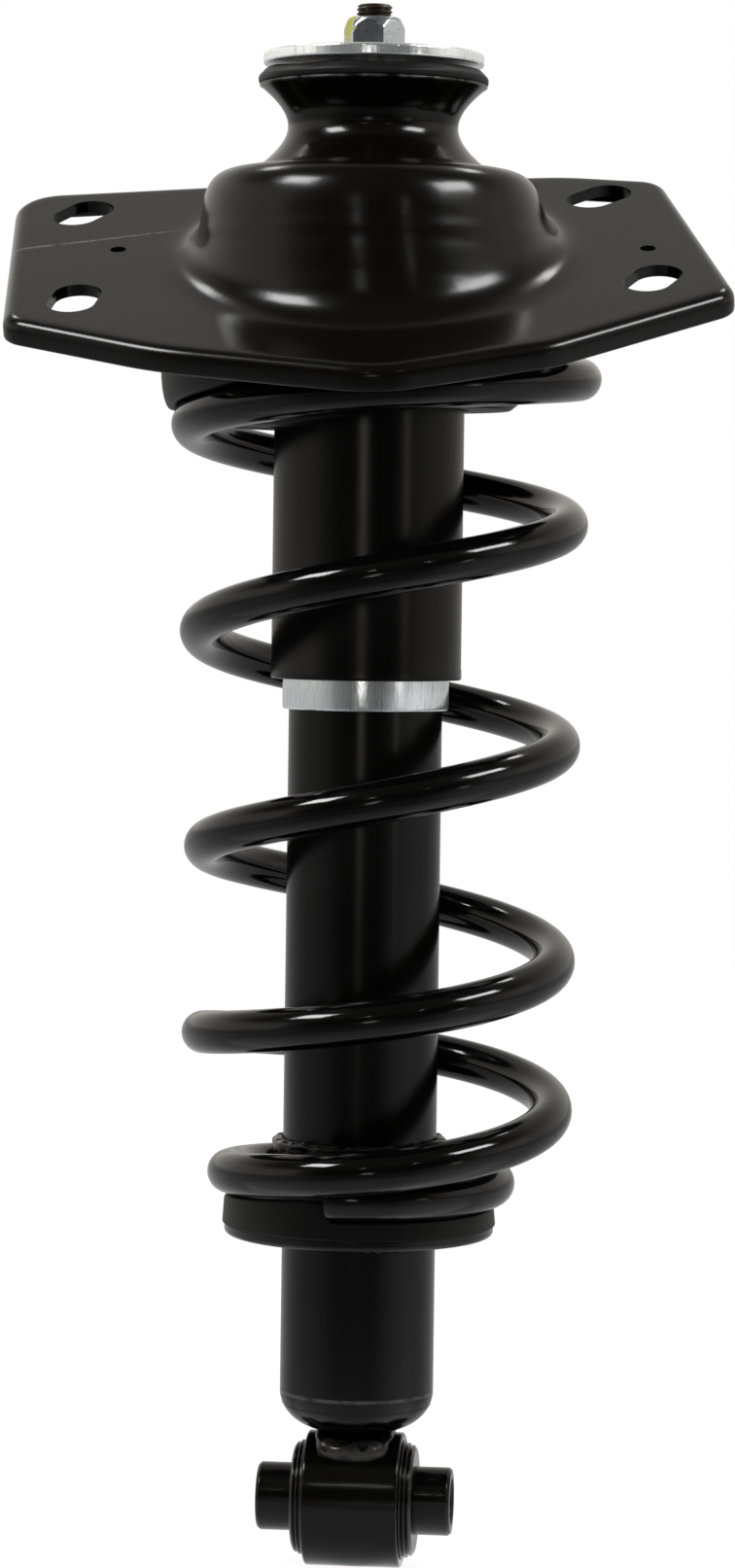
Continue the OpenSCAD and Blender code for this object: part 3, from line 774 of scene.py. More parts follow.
@dataclass
class TopMount:
    """The sloping plate with its dome, the flared tower and the rubber bushing in it."""

    plate_z: float = 414.7
    tilt: float = 24.6
    plate_t: float = 4.0
    dome_t: float = 3.2
    flange_drop: float = 8.4
    flange_edge: float = 0.9
    flange_root: float = 2.0
    dome_r: float = 56.1
    dome_draft: float = 9.0
    foot_shift: float = 3.6
    lean_h: float = 40.0
    shoulder: float = 10.0
    dome_top: float = 440.0
    throat: float = 25.7
    edge_round: float = 4.5
    margin: float = 7.0
    blend: float = 4.5
    foot_blend: float = 8.0
    foot_zone: float = 16.0
    ray_points: int = 66
    ring_depth: float = 0.05
    rings: tuple[Triple, ...] = ((418, 9.4, 1.0), (424, 6.3, 0.7))
    hat_r: float = 52.8
    tower_t: float = 2.5
    tower_rim_r: float = 37.7
    tower_foot_r: float = 39.2
    waist_share: float = 0.51
    waist_at: int = 16
    bushing_bore: float = 11.1
    bushing_flange_r: float = 35.6
    slot_w: float = 15.6
    slot_l: float = 24.4
    hole_d: float = 5.3
    corners: tuple[Corner, ...] = (
        (-112.5, -68, 11), (-60, -92, 120), (12, -108.5, 34), (66, -85, 30), (122.3, -38, 11),
        (93.3, 66.5, 11), (60, 71.5, 60), (-30, 64.5, 200), (-127.5, 48.5, 16))
    slots: tuple[Triple, ...] = ((-101.5, 30.1, 61), (-91.8, -49, 85), (72.6, 49.1, 47), (94.2, -27.4, 67))
    holes: tuple[tuple[float, float], ...] = ((-84.2, -4.6), (91.4, -0.4))

    def to_strut(self, x: Array, v: Array, depth: Array | float) -> Array:
        """Turns a place in the plate's plane, and its depth under the face, into the strut's frame."""
        s, c = math.sin(math.radians(self.tilt)), math.cos(math.radians(self.tilt))
        return np.stack(np.broadcast_arrays(x, v * c + depth * s, self.plate_z + v * s - depth * c), axis=-1)

    def outline(self, inset: float) -> Array:
        """Points along the plate's outline moved in by an inset; every inset gives the same number, in step.

        Args:
            inset: Distance from the plate's edge.

        Returns:
            Points in the plate's plane: each corner's arc, then an even run to the next.
        """
        corner = np.array(self.corners)
        spot, radius = corner[:, :2], corner[:, 2]
        way = np.roll(spot, -1, axis=0) - spot
        length = np.linalg.norm(way, axis=1)
        inward = np.stack([-way[:, 1], way[:, 0]], axis=1) / length[:, None]
        before = np.roll(inward, 1, axis=0)
        spot = spot + inset * (inward + before) / (1 + (inward * before).sum(axis=1, keepdims=True))
        rounded = fillet([(*p, max(r - inset, 1.0)) for p, r in zip(spot, radius)], steps=9)
        bends = rounded.reshape(len(corner), -1, 2)
        runs = [np.linspace(bend[-1], after[0], int(gap / 2.2) + 2)[1:-1]
                for bend, after, gap in zip(bends, np.roll(bends, -1, axis=0), length)]
        return np.vstack([part for bend, run in zip(bends, runs) for part in (bend, run)])

    def crown(self, reach: Array, slope: Array, lean: Array) -> tuple[Array, Array, Array]:
        """Rays from the axis: the dome's side, then the plate's slope, blurred together.

        Args:
            reach: Distance from the axis at which each ray ends.
            slope: Rise of the plate along each ray.
            lean: How far the dome's foot stands out along each ray.

        Returns:
            Radii, heights, and how much each point belongs to the plate, each (rays, points).
        """
        step, lead, far = 0.5, 16.0, 190.0
        blend_lead, blend_run, deep_run = 6.0, 16.0, 20.0
        top_fade, foot_gap, foot_fade = 5.0, 7.0, 8.0
        high, foot_z = self.dome_top - self.shoulder, self.plate_z - self.dome_r
        bend = arc(self.dome_r - self.shoulder, high, self.shoulder, 90, self.dome_draft, 24)
        foot_r = bend[-1, 0] + (bend[-1, 1] - foot_z) * math.tan(math.radians(self.dome_draft))
        side = np.vstack([[self.throat - lead, self.dome_top], bend, [foot_r, foot_z]])
        length = np.concatenate([[0], np.cumsum(np.linalg.norm(np.diff(side, axis=0), axis=1))])
        s = np.arange(0, length[-1], step)
        dz = np.broadcast_to(np.interp(s, length, side[:, 1]), (len(lean), len(s)))
        dr = np.interp(s, length, side[:, 0])[None] + lean[:, None] * np.clip((high - dz) / self.lean_h, 0, 1)
        # where each ray's side first falls under the plate's slope
        over = dz - self.plate_z - slope[:, None] * dr
        last = np.argmax(over < 0, axis=1)[:, None]
        before, after = (np.take_along_axis(over, last - k, 1) for k in (1, 0))
        part = before / (before - after)
        cut = s[last - 1] + step * part
        rc, zc = (np.take_along_axis(a, last - 1, 1) * (1 - part) + np.take_along_axis(a, last, 1) * part
                  for a in (dr, dz))
        # the side up to there and the slope beyond it
        run = np.arange(0, far, step)
        flat = np.maximum(run - cut, 0) / np.sqrt(1 + slope[:, None] ** 2)
        near = np.minimum(np.arange(len(run)), len(s) - 1)
        rr = np.where(run < cut, dr[:, near], rc + flat)
        zz = np.where(run < cut, dz[:, near], zc + flat * slope[:, None])
        share = smooth_rows(np.clip((run - cut + blend_lead) / blend_run, 0, 1), self.blend / step)
        # a wider blend where the dome's foot lies low, and faint rings above it
        wide = np.exp(-(((run - cut) / self.foot_zone) ** 2)) * np.clip((cut - length[-2]) / deep_run, 0, 1)
        rr, zz = (smooth_rows(a, self.blend / step) * (1 - wide) + smooth_rows(a, self.foot_blend / step) * wide
                  for a in (rr, zz))
        rings = sum(weight * np.cos((zz - at) * 2 * math.pi / wave) for at, wave, weight in self.rings)
        rr = rr + (self.ring_depth * rings * np.clip((high - 1 - zz) / top_fade, 0, 1)
                   * np.clip((cut - run - foot_gap) / foot_fade, 0, 1))
        # the same number of points on each ray
        rr, zz, share = (a[:, int(lead / step):] for a in (rr, zz, share))
        end = np.argmax(rr > reach[:, None], axis=1)
        at = np.linspace(0, 1, self.ray_points)[None] * end[:, None]
        low = np.floor(at).astype(int)
        part = at - low
        return tuple(np.take_along_axis(a, low, 1) * (1 - part) + np.take_along_axis(a, low + 1, 1) * part
                     for a in (rr, zz, share))

    def plate(self) -> bpy.types.Object:
        """Plate: rays from the axis over dome and slope, a rounded edge with its flange, and an inner side set off
        by the wall along each ray's normal; the slots and holes are cut out.

        Returns:
            The piece.
        """
        t, drop, round_r = self.plate_t, self.flange_drop, self.edge_round
        edge, root = self.flange_edge, self.flange_root
        start = self.outline(self.margin)
        foot = self.to_strut(start[:, 0], start[:, 1], 0.0)
        reach = np.hypot(foot[:, 0], foot[:, 1])
        ray = np.concatenate([foot[:, None, :2] / reach[:, None, None], np.zeros((len(foot), 1, 1))], axis=-1)
        slope, lean = (foot[:, 2] - self.plate_z) / reach, self.foot_shift * ray[:, 0, 0]
        r, z, share = self.crown(reach, slope, lean)
        up = np.array([0.0, 0.0, 1.0])
        top = ray * r[..., None] + up * z[..., None]
        top[:, -1] = foot
        dr, dz = np.gradient(r, axis=1), np.gradient(z, axis=1)
        turned = (ray * -dz[..., None] + up * dr[..., None]) / np.hypot(dr, dz)[..., None]
        tilt = math.radians(self.tilt)
        level = np.array([0.0, -math.sin(tilt), math.cos(tilt)])
        normal = turned * (1 - share[..., None]) + level * share[..., None]
        normal /= np.linalg.norm(normal, axis=-1, keepdims=True)
        inner = top - normal * (self.dome_t + (t - self.dome_t) * share[..., None])
        lip = np.vstack([arc(round_r, round_r, round_r, 270, 180, 7), arc(edge, drop - edge, edge, 180, 90, 3),
                         arc(t - edge, drop - edge, edge, 90, 0, 3), arc(t + root, t + root, root, 180, 270, 4)])
        place = np.stack([self.outline(x) for x in lip[:, 0]], axis=1)
        rim = self.to_strut(place[..., 0], place[..., 1], np.broadcast_to(lip[None, :, 1], place.shape[:2]))
        shell = np.concatenate([top, rim, inner[:, ::-1]], axis=1)
        piece = make_mesh("mount_plate_shell", shell, grid_faces(*shell.shape[:2], True, True))
        self.cut(piece, [self.slot_tool(*slot) for slot in self.slots] + [self.hole_tool(*at) for at in self.holes])
        return piece

    def slot_tool(self, x: float, v: float, turn: float) -> Array:
        """Cutter for a slot: two half circles joined by straight sides.

        Args:
            x, v: Centre in the plate's plane.
            turn: Angle of its long side in degrees.

        Returns:
            Its outline.
        """
        half = (self.slot_l - self.slot_w) / 2
        ends = np.vstack([arc(half, 0, self.slot_w / 2, -90, 90, 20), arc(-half, 0, self.slot_w / 2, 90, 270, 20)])
        c, s = math.cos(math.radians(turn)), math.sin(math.radians(turn))
        return ends @ np.array([[c, s], [-s, c]]) + (x, v)

    def hole_tool(self, x: float, v: float) -> Array:
        """Cutter for a round hole: its outline."""
        return arc(x, v, self.hole_d / 2, 0, 345, 23)

    def cut(self, piece: bpy.types.Object, outlines: list[Array]) -> None:
        """Cuts upright outlines of the plate's plane out of a piece and bakes the result.

        Args:
            piece: The plate.
            outlines: Points of each outline in the plate's plane.
        """
        beyond = 12.0
        for outline in outlines:
            layers = np.stack([self.to_strut(outline[:, 0], outline[:, 1], d) for d in (-beyond, beyond)])
            n = len(outline)
            faces = grid_faces(2, n, False, True).tolist() + [list(range(n)), list(range(n, 2 * n))]
            tool = make_mesh("cutter", layers, faces)
            cutter = piece.modifiers.new("cut", "BOOLEAN")
            cutter.object, cutter.solver = tool, "EXACT"
            whole = piece.evaluated_get(bpy.context.evaluated_depsgraph_get())
            piece.data, old = bpy.data.meshes.new_from_object(whole), piece.data
            piece.modifiers.clear()
            bpy.data.meshes.remove(old)
            bpy.data.objects.remove(tool)
        finish_mesh(piece.data, CREASE)

    def tower_line(self, inset: float) -> Array:
        """Side of the tower: a hyperbola through the waist and the rim, moved in by the wall.

        Args:
            inset: Distance inwards.

        Returns:
            (radius, height) points from the dome up; the waist is point waist_at.
        """
        waist, rim_z = self.throat + self.tower_t, high_z("mount_tower")
        waist_z = self.dome_top + (rim_z - self.dome_top) * self.waist_share
        spread = math.sqrt(self.tower_rim_r**2 - waist**2) / (rim_z - waist_z)
        half = self.waist_at + 1
        z = np.concatenate([np.linspace(self.dome_top, waist_z, half), np.linspace(waist_z, rim_z, half)[1:]])
        return np.stack([np.hypot(waist, spread * (z - waist_z)) - inset, z], axis=1)

    def tower(self) -> bpy.types.Object:
        """Flared tower: its side line, a thin rounded rim and the inner wall, turned round.

        Returns:
            The piece.
        """
        outer, inner = self.tower_line(0), self.tower_line(self.tower_t)
        edge, mouth_r, rim_z, under = 0.45, 35.6, outer[-1, 1], self.dome_top - self.tower_t
        lip = np.vstack([arc(self.tower_rim_r - 0.4, rim_z, edge, -30, 90, 5), [[mouth_r, rim_z + edge]]])
        foot = np.array([[self.throat, under], [self.tower_foot_r, under],
                         [self.tower_foot_r - 0.4, self.dome_top + 0.1]])
        waist = self.waist_at
        section = np.vstack([foot, outer[1:-1], lip, inner[:waist:-1], [[self.throat, inner[waist, 1]]]])
        return lathe("mount_tower_neck", section, 192)

    def bushing(self) -> bpy.types.Object:
        """Bushing rubber: lower flange, core inside the tower and the wavy bead over its rim, whose waves are sums
        of cosines round the ring.

        Returns:
            The piece.
        """
        foot, top, room, flange_t = low_z("rod_bushing"), high_z("rod_bushing"), 0.2, 3.4
        rim_z, inner = high_z("mount_tower") + 0.3, self.tower_line(self.tower_t + room)
        bead = fillet([(34.6, rim_z, 0), (37.9, rim_z, 1.2), (38.4, rim_z + 2.6, 1.6), (36.2, top - 0.7, 2.2),
                       (30.0, top - 0.2, 3), (24.0, top - 1.6, 0)], closed=False)
        section = np.vstack([[[self.bushing_bore, foot], [self.bushing_flange_r, foot],
                              [self.bushing_flange_r, foot + flange_t], [self.throat - room, foot + flange_t]],
                             inner[self.waist_at + 1:-1], bead, [[self.bushing_bore, top - 1.6]]])
        a = full_turn(192)[:, None]
        share = np.clip((section[:, 1] - rim_z - 0.6) / 4, 0, 1)[None]
        dip = -(0.5 + 0.5 * ripples(a, 5, (3, 5, 7))) * 1.5 * share
        swell = (ripples(a, 8, (4, 6, 9)) - 1) * 0.5 * share
        return lathe("rod_bushing_rubber", section, 192, out=swell, rise=dip)

    def build(self, dresser: Dresser) -> None:
        """Builds and dresses the pieces; the tower's paint carries a pale band along its rim, a painted highlight.

        Args:
            dresser: Gives each piece its place and its finish.
        """
        rim = high_z("mount_tower") * MM
        # pale band along the rim: a painted highlight
        rim_highlight_paint = BlackPaint("tower_black", PLATE_BLACK, 0.17, specular=0.22, band=(rim - 0.0003, rim + 0.001))
        dresser.dress(self.plate(), "mount_plate")
        dresser.dress(self.tower(), "mount_tower", rim_highlight_paint.build())
        dresser.dress(self.bushing(), "rod_bushing")


@dataclass
class StudEnd:
    """The nut, the washer and the rod's threaded end above the tower."""

    flats: float = 18.0
    turn: float = -7.0
    nut_bore: float = 6.0
    washer_bore: float = 6.05
    stud_r: float = 5.98
    rod_r: float = 7.0
    tail_r: float = 4.8
    pitch: float = 1.5
    thread_depth: float = 0.75

    def nut(self) -> bpy.types.Object:
        """Lock nut: a hexagon capped by a rounded shoulder; the smaller of the two radii holds at each point.

        Returns:
            The piece.
        """
        low, high = low_z("lock_nut"), high_z("lock_nut")
        peak = self.flats / math.sqrt(3)
        section = fillet([(7.4, high, 0.3), (8.6, high - 0.5, 0.8), (peak - 0.35, high - 3.4, 1.5),
                          (peak, high - 4.4, 0.8), (peak, low + 0.9, 0.4), (peak - 1.1, low, 0.2),
                          (self.nut_bore, low, 0), (self.nut_bore, high - 0.4, 0.2)])
        finer = np.linspace(0, len(section) - 1, 4 * len(section))
        section = np.stack([np.interp(finer, np.arange(len(section)), column) for column in section.T], axis=1)
        a = np.linspace(0, 360, 240, endpoint=False)[:, None]
        hexagon = self.flats / 2 / np.cos(np.radians((a - self.turn) % 60 - 30))
        return lathe("lock_nut_hex", section, 240, out=np.minimum(hexagon - section[None, :, 0], 0), crease=28)

    def washer(self) -> bpy.types.Object:
        """Top washer: a disc with a rounded rim.

        Returns:
            The piece.
        """
        low, high, r = span("top_washer")
        bore = self.washer_bore
        section = fillet([(bore, low, 0), (r, low, 0.7), (r, high, 0.9), (bore, high, 0)], steps=4)
        return lathe("top_washer_disc", section, 220)

    def rod(self) -> bpy.types.Object:
        """Rod: its stepped outline, and near the tip a thread whose radius falls with the distance from the
        helix's crest.

        Returns:
            The piece.
        """
        low, high, shoulder = low_z("piston_rod"), high_z("piston_rod"), low_z("lower_washer")
        foot, start = low_z("rebound_collar") - 9, high_z("lock_nut") - 2
        plain = np.array([[0, low], [self.tail_r, low], [self.tail_r, foot], [self.rod_r, foot],
                          [self.rod_r, shoulder], [self.stud_r, shoulder], [self.stud_r, start]])
        thread = np.stack([np.full(70, self.stud_r), np.linspace(start + 0.1, high - 0.5, 70)], axis=1)
        tip = np.array([[5.0, high - 0.05], [4.7, high], [0, high]])
        section = np.vstack([plain, thread, tip])
        a = np.linspace(0, 1, 96, endpoint=False)[:, None]
        phase = ((section[None, :, 1] - start) / self.pitch - a) % 1
        on = np.clip((section[:, 1] - start) / 0.6, 0, 1) * np.clip((high + 0.2 - section[:, 1]) / 0.8, 0, 1)
        groove = -self.thread_depth * np.abs(2 * phase - 1) * on[None] * (section[None, :, 0] > tip[0, 0])
        return lathe("piston_rod_bar", section, 96, closed=False, out=groove)

    def build(self, dresser: Dresser) -> None:
        """Builds and dresses the pieces; the nut has a dab of paint at its upper left.

        Args:
            dresser: Gives each piece its place and its finish.
        """
        low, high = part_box("lock_nut")
        dab = NutMetal("nut_metal", (float(low[0]) + 0.002, float(low[1]) + 0.006, float(high[2]) - 0.003), 0.005)
        steel = BrightMetal("stud_steel", (0.07, 0.055, 0.042), 0.36, Grain.CLOUD, stain=(0.02, 0.018, 0.016),
                            stain_share=0.7)
        dresser.dress(self.nut(), "lock_nut", dab.build())
        dresser.dress(self.washer(), "top_washer")
        dresser.dress(self.rod(), "piston_rod", steel.build())


# ---------------------------------------------------------------- spring and its seats


@dataclass
class Coil:
    """The spring's centre line: angle, radius, side shift and height against turns from the lower tip."""

    wire: float = 14.0
    turns: float = 5.7
    tip_angle: float = -97.0
    foot_z: float = 105.1
    head_z: float = 381.0
    body_r: float = 57.9
    foot_step: float = 13.8
    head_step: float = 6.4
    side_shift: float = 5.5
    points_per_turn: int = 110
    sides: int = 28
    pitches: Stops = (
        (0, 1.2), (0.3, 0.2), (0.55, 2.8), (0.8, 22), (1, 33), (1.15, 57), (1.3, 72), (1.5, 47), (1.8, 32),
        (2.05, 53), (2.3, 70), (2.55, 70), (2.8, 78), (3.05, 72), (3.3, 59), (3.55, 70), (3.8, 89), (4.05, 71),
        (4.3, 66), (4.55, 63), (4.8, 54), (5.05, 28), (5.3, 23), (5.7, 23))
    foot_shares: Stops = ((0, 1), (0.3, 0.97), (0.78, 1.12), (1, 0.06), (1.3, 0), (1.8, 0))
    head_shares: Stops = ((2.8, 0), (3.3, 0.13), (3.8, 0.38), (4.3, 0.38), (4.8, 0.97), (5.7, 1))
    shift_shares: Stops = ((0, 0), (0.3, 0), (0.8, 0.18), (1.3, 1), (5.7, 1))

    def height(self, t: Array) -> Array:
        """Height of the centre line: the pitch summed along the turns, scaled to run from foot to head.

        Args:
            t: Turns from the lower tip.

        Returns:
            Heights in millimetres.
        """
        at = np.linspace(0, self.turns, 1200)
        pitch = np.interp(at, *np.array(self.pitches).T)
        rise = np.concatenate([[0], np.cumsum((pitch[1:] + pitch[:-1]) / 2)])
        return self.foot_z + (self.head_z - self.foot_z) * np.interp(t, at, rise) / rise[-1]

    def share(self, t: Array, stops: Stops) -> Array:
        """A share that changes along the turns: straight lines between the stops, blurred.

        Args:
            t: Turns from the lower tip.
            stops: (turns, share).

        Returns:
            The share at each place.
        """
        at = np.linspace(-0.3, self.turns + 0.3, 800)
        return np.interp(t, at, smooth_rows(np.interp(at, *np.array(stops).T)[None], 5)[0])

    def path(self, t: Array) -> Array:
        """Centre line: a circle whose radius and side shift change along the turns.

        Args:
            t: Turns from the lower tip.

        Returns:
            Points in millimetres.
        """
        foot, head = self.share(t, self.foot_shares), self.share(t, self.head_shares)
        shift = self.share(t, self.shift_shares) * self.side_shift
        r = self.body_r - self.foot_step * foot + self.head_step * head
        a = np.radians(self.tip_angle + 360 * t)
        return np.stack([r * np.cos(a) + shift, r * np.sin(a), self.height(t)], axis=1)

    def mesh(self) -> bpy.types.Object:
        """Wire: a circle carried along the centre line, with chamfered flat ends.

        Returns:
            The piece.
        """
        t = np.linspace(0, self.turns, int(self.turns * self.points_per_turn))
        r = self.wire / 2
        ends = np.array([0, 0.9, 0.97, 1]) * r
        lead = (self.turns / len(t)) * np.array([0, 0.001, 0.06, 0.18])
        extra = self.path(np.concatenate([lead, self.turns - lead[::-1]]))
        line = np.vstack([extra[:4], self.path(t)[1:-1], extra[4:]])
        radii = np.concatenate([ends, np.full(len(line) - 8, r), ends[::-1]])
        return sweep("coil_spring_wire", line, radii[:, None], self.sides)


@dataclass
class SpringGroup:
    """The coil, its two rubber isolators and the steel seat on the tube."""

    coil: Coil = field(default_factory=Coil)
    mount: TopMount = field(default_factory=TopMount)
    stroke: float = 100.0
    wire_room: float = 0.3
    hub_bore: float = 32.7
    hub_r: float = 49.6
    rim_r: float = 69.1
    rim_lip: float = 2.2
    nose: float = 3.5
    nose_top: float = 9.0
    nose_share: float = 0.42
    skirt_drop: float = 6.5
    rubber_keep: float = 0.84
    swivel_room: float = 0.03
    rim_turns: float = 0.97
    least_t: float = 1.2
    tube_bore: float = 25.45
    lower_bore: float = 29.2
    weld_r: float = 26.2

    def spring(self, dresser: Dresser) -> None:
        """The coil, given a mesh of its own.

        Args:
            dresser: Gives each piece its place and its finish.
        """
        piece = dresser.dress(self.coil.mesh(), "coil_spring")
        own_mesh(piece)

    def turns_at(self, segments: int, last: float) -> Array:
        """Turns along the coil that each angle of a ring has above or below it.

        Args:
            segments: Number of angles.
            last: The most turns that may be given.

        Returns:
            Turns from the lower tip.
        """
        t = (np.linspace(0, 360, segments, endpoint=False) - self.coil.tip_angle) / 360
        return t - np.ceil(t - last)

    def roof(self, r: Array | float, a: Array) -> Array:
        """Height just under the sloping plate.

        Args:
            r: Radius.
            a: Angle in radians.

        Returns:
            Heights in millimetres.
        """
        tilt, room = math.radians(self.mount.tilt), 0.2
        return self.mount.plate_z - self.mount.plate_t / math.cos(tilt) - room + math.tan(tilt) * r * np.sin(a)

    def upper_isolator(self) -> bpy.types.Object:
        """Ring over the coil: a hub inside it, and a rim that bears on the wire and ends in a round nose. The rim's
        underside is the wire's upper half circle at each angle, down to a lip outside it.

        Returns:
            The piece.
        """
        n, hub_h, recess = 360, 5.0, 1.95
        end, coil, hat_r = self.rim_r - self.nose, self.coil, self.mount.hat_r
        rest = coil.wire / 2 + self.wire_room
        foot, top = low_z("upper_isolator"), high_z("upper_isolator")
        t = self.turns_at(n, coil.turns + 0.003)
        path = coil.path(np.clip(t, coil.turns - self.rim_turns, coil.turns))
        wire_r = np.hypot(path[:, 0], path[:, 1])[:, None]
        level = np.maximum(coil.height(np.clip(t, 0, coil.turns)) + rest, foot + self.least_t)[:, None]
        a = full_turn(n)[:, None]
        hub = fillet([(self.hub_bore, foot, 0), (self.hub_r - 3, foot, 1.5), (self.hub_r, foot + 2.4, 1.8),
                      (self.hub_r, foot + hub_h, 0)], closed=False)
        under = np.linspace(self.hub_r + 0.4, end, 10)
        ride = level - rest + np.sqrt(np.maximum(rest ** 2 - (under[None] - wire_r) ** 2, 0))
        ride = np.where(under[None] < wire_r, level, np.maximum(ride, level - self.rim_lip))
        low, high = ride[:, -1:], np.minimum(top, self.roof(self.rim_r, a))
        c = np.linspace(0, math.pi / 2, 7)[1:]
        nose_low = low + self.nose_share * (high - low) * (1 - np.cos(c))[None]
        nose_high = high - (1 - self.nose_share) * (high - low) * (1 - np.sin(c))[None]
        over = np.array([[hat_r + 0.1, top], [hat_r - 0.2, top - recess], [self.hub_bore, top - recess]])
        r = np.concatenate([hub[:, 0], under, end + self.nose * np.sin(c),
                            self.rim_r - self.nose_top + self.nose_top * np.cos(c), over[:, 0]])
        skirt = self.skirt_drop * np.clip(0.5 - 0.9 * np.cos(a), 0, 1) * (hub[:, 1] < foot + hub_h - 0.5)[None]
        z = np.hstack([hub[:, 1] - skirt, ride, nose_low, nose_high, np.broadcast_to(over[None, :, 1], (n, 3))])
        z = np.where(r[None] > hat_r, np.minimum(z, self.roof(r[None], a)), z)
        flat = np.stack([r, np.full_like(r, foot)], axis=1)
        return lathe("upper_isolator_rubber", flat, n, rise=z - foot)

    def lower_isolator(self) -> bpy.types.Object:
        """Ring under the coil: its top follows the wire's underside from the tip up to a level stretch.

        Returns:
            The piece.
        """
        n, outer = 360, 45.2
        rest = self.coil.wire / 2 + self.wire_room
        foot, top = low_z("lower_isolator"), high_z("lower_isolator")
        t = self.turns_at(n, 1.0)
        level = np.minimum(self.coil.height(np.clip(t - self.swivel_room, 0, 1)) - rest, top)
        section = fillet([(self.lower_bore, foot, 0), (outer, foot, 0.8), (outer - 0.6, top, 1.8),
                          (self.lower_bore, top, 1.2)])
        moved = np.clip((section[:, 1] - foot) / (top - foot), 0, 1)
        return lathe("lower_isolator_rubber", section, n, rise=(level[:, None] - top) * moved[None])

    def seat(self) -> bpy.types.Object:
        """Pressed seat: a rounded dish with a collar up the tube, whose edge is a little ragged.

        Returns:
            The piece.
        """
        low, high, r = span("lower_spring_seat")
        collar, dish_t = self.tube_bore + 3.45, 3.4
        section = fillet([(self.tube_bore, low, 0), (r, low, 3.2), (r, low + dish_t, 0.2),
                          (30.2, low + dish_t, 2.2),
                          (collar, low + 8, 3), (collar, high, 2.4), (self.tube_bore, high, 0.6)], steps=6)
        a = full_turn(200)[:, None]
        top = np.clip((section[:, 1] - high + 3) / 3, 0, 1)[None]
        return lathe("lower_seat_dish", section, 200, out=ripples(a, 3, (4, 9, 14, 31)) * 0.5 * top,
                     rise=(ripples(a, 4, (3, 7, 17, 29)) - 1) * 0.7 * top)

    def weld(self) -> bpy.types.Object:
        """Weld bead under the seat: a small ring whose thickness ripples.

        Returns:
            The piece.
        """
        a, sides = full_turn(240), 12
        z = (low_z("seat_weld") + high_z("seat_weld")) / 2 + 0.6
        line = np.stack([self.weld_r * np.cos(a), self.weld_r * np.sin(a), np.full_like(a, z)], axis=1)
        thick = 1.9 + 0.35 * np.cos(46 * a) + 0.2 * ripples(a, 9, (5, 11))
        return sweep("seat_weld_bead", line, thick[:, None], sides, closed=True)

    def build(self, dresser: Dresser) -> None:
        """Builds and dresses the pieces; the lower rubber gets a mesh of its own.

        Args:
            dresser: Gives each piece its place and its finish.
        """
        self.spring(dresser)
        dresser.dress(self.upper_isolator(), "upper_isolator")
        soft = dresser.dress(self.lower_isolator(), "lower_isolator")
        foot, collar = low_z("lower_isolator") * MM, high_z("lower_spring_seat") * MM
        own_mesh(soft)
        spatter = BlackPaint("seat_black", BLACK, 0.17, specular=0.3, band=(collar - 0.006, collar + 0.001),
                             band_tone=0.008, band_relief=14.0)
        dresser.dress(self.seat(), "lower_spring_seat", spatter.build())
        dresser.dress(self.weld(), "seat_weld")


# ---------------------------------------------------------------- damper


@dataclass
class Shield:
    """The dust shield round the rod and the foam stop inside it."""

    wall: float = 1.6
    rolled: float = 1.1
    keep: float = 0.55
    stop_bore: float = 8.3

    def tube(self) -> bpy.types.Object:
        """Shield: a thin tube with a rolled lower edge; its side waves by a tenth of a millimetre.

        Returns:
            The piece.
        """
        low, high, r = span("dust_shield")
        inner, side = r - self.wall, r - 0.15
        section = fillet([(inner, low + 0.2, 0.6), (r, low, self.rolled), (r, low + 3, 0), (side, low + 4, 0),
                          (side, (low + high) / 2, 0), (side, high, 0.3), (inner, high, 0.3)])
        segments = 180
        wave = ripples(full_turn(segments)[:, None], 12, (2, 3, 5)) * 0.08
        return lathe("dust_shield_tube", section, segments, out=wave)

    def stop(self) -> bpy.types.Object:
        """Bump stop: a foam column of rounded bellies between narrow grooves.

        Returns:
            The piece.
        """
        low, high, r = span("bump_stop")
        bellies = ((6, 0.66, 5), (9, 0.6, 3), (3, 0.54, 5), (3, 0.36, 5), (7, 0.3, 2.5), (0, 0.24, 2.5))
        corners = [(self.stop_bore, low, 0), (r - 9, low, 3), (r - 5.6, low + 7, 3),
                   *((r - inset, high - (high - low) * share, bend) for inset, share, bend in bellies),
                   (r, high, 0.6), (self.stop_bore, high, 0)]
        return lathe("bump_stop_foam", fillet(corners, steps=7), 120)

    def build(self, dresser: Dresser) -> None:
        """Builds and dresses the pieces; the stop gets a mesh of its own.

        Args:
            dresser: Gives each piece its place and its finish.
        """
        dresser.dress(self.tube(), "dust_shield")
        stop = dresser.dress(self.stop(), "bump_stop")
        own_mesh(stop)


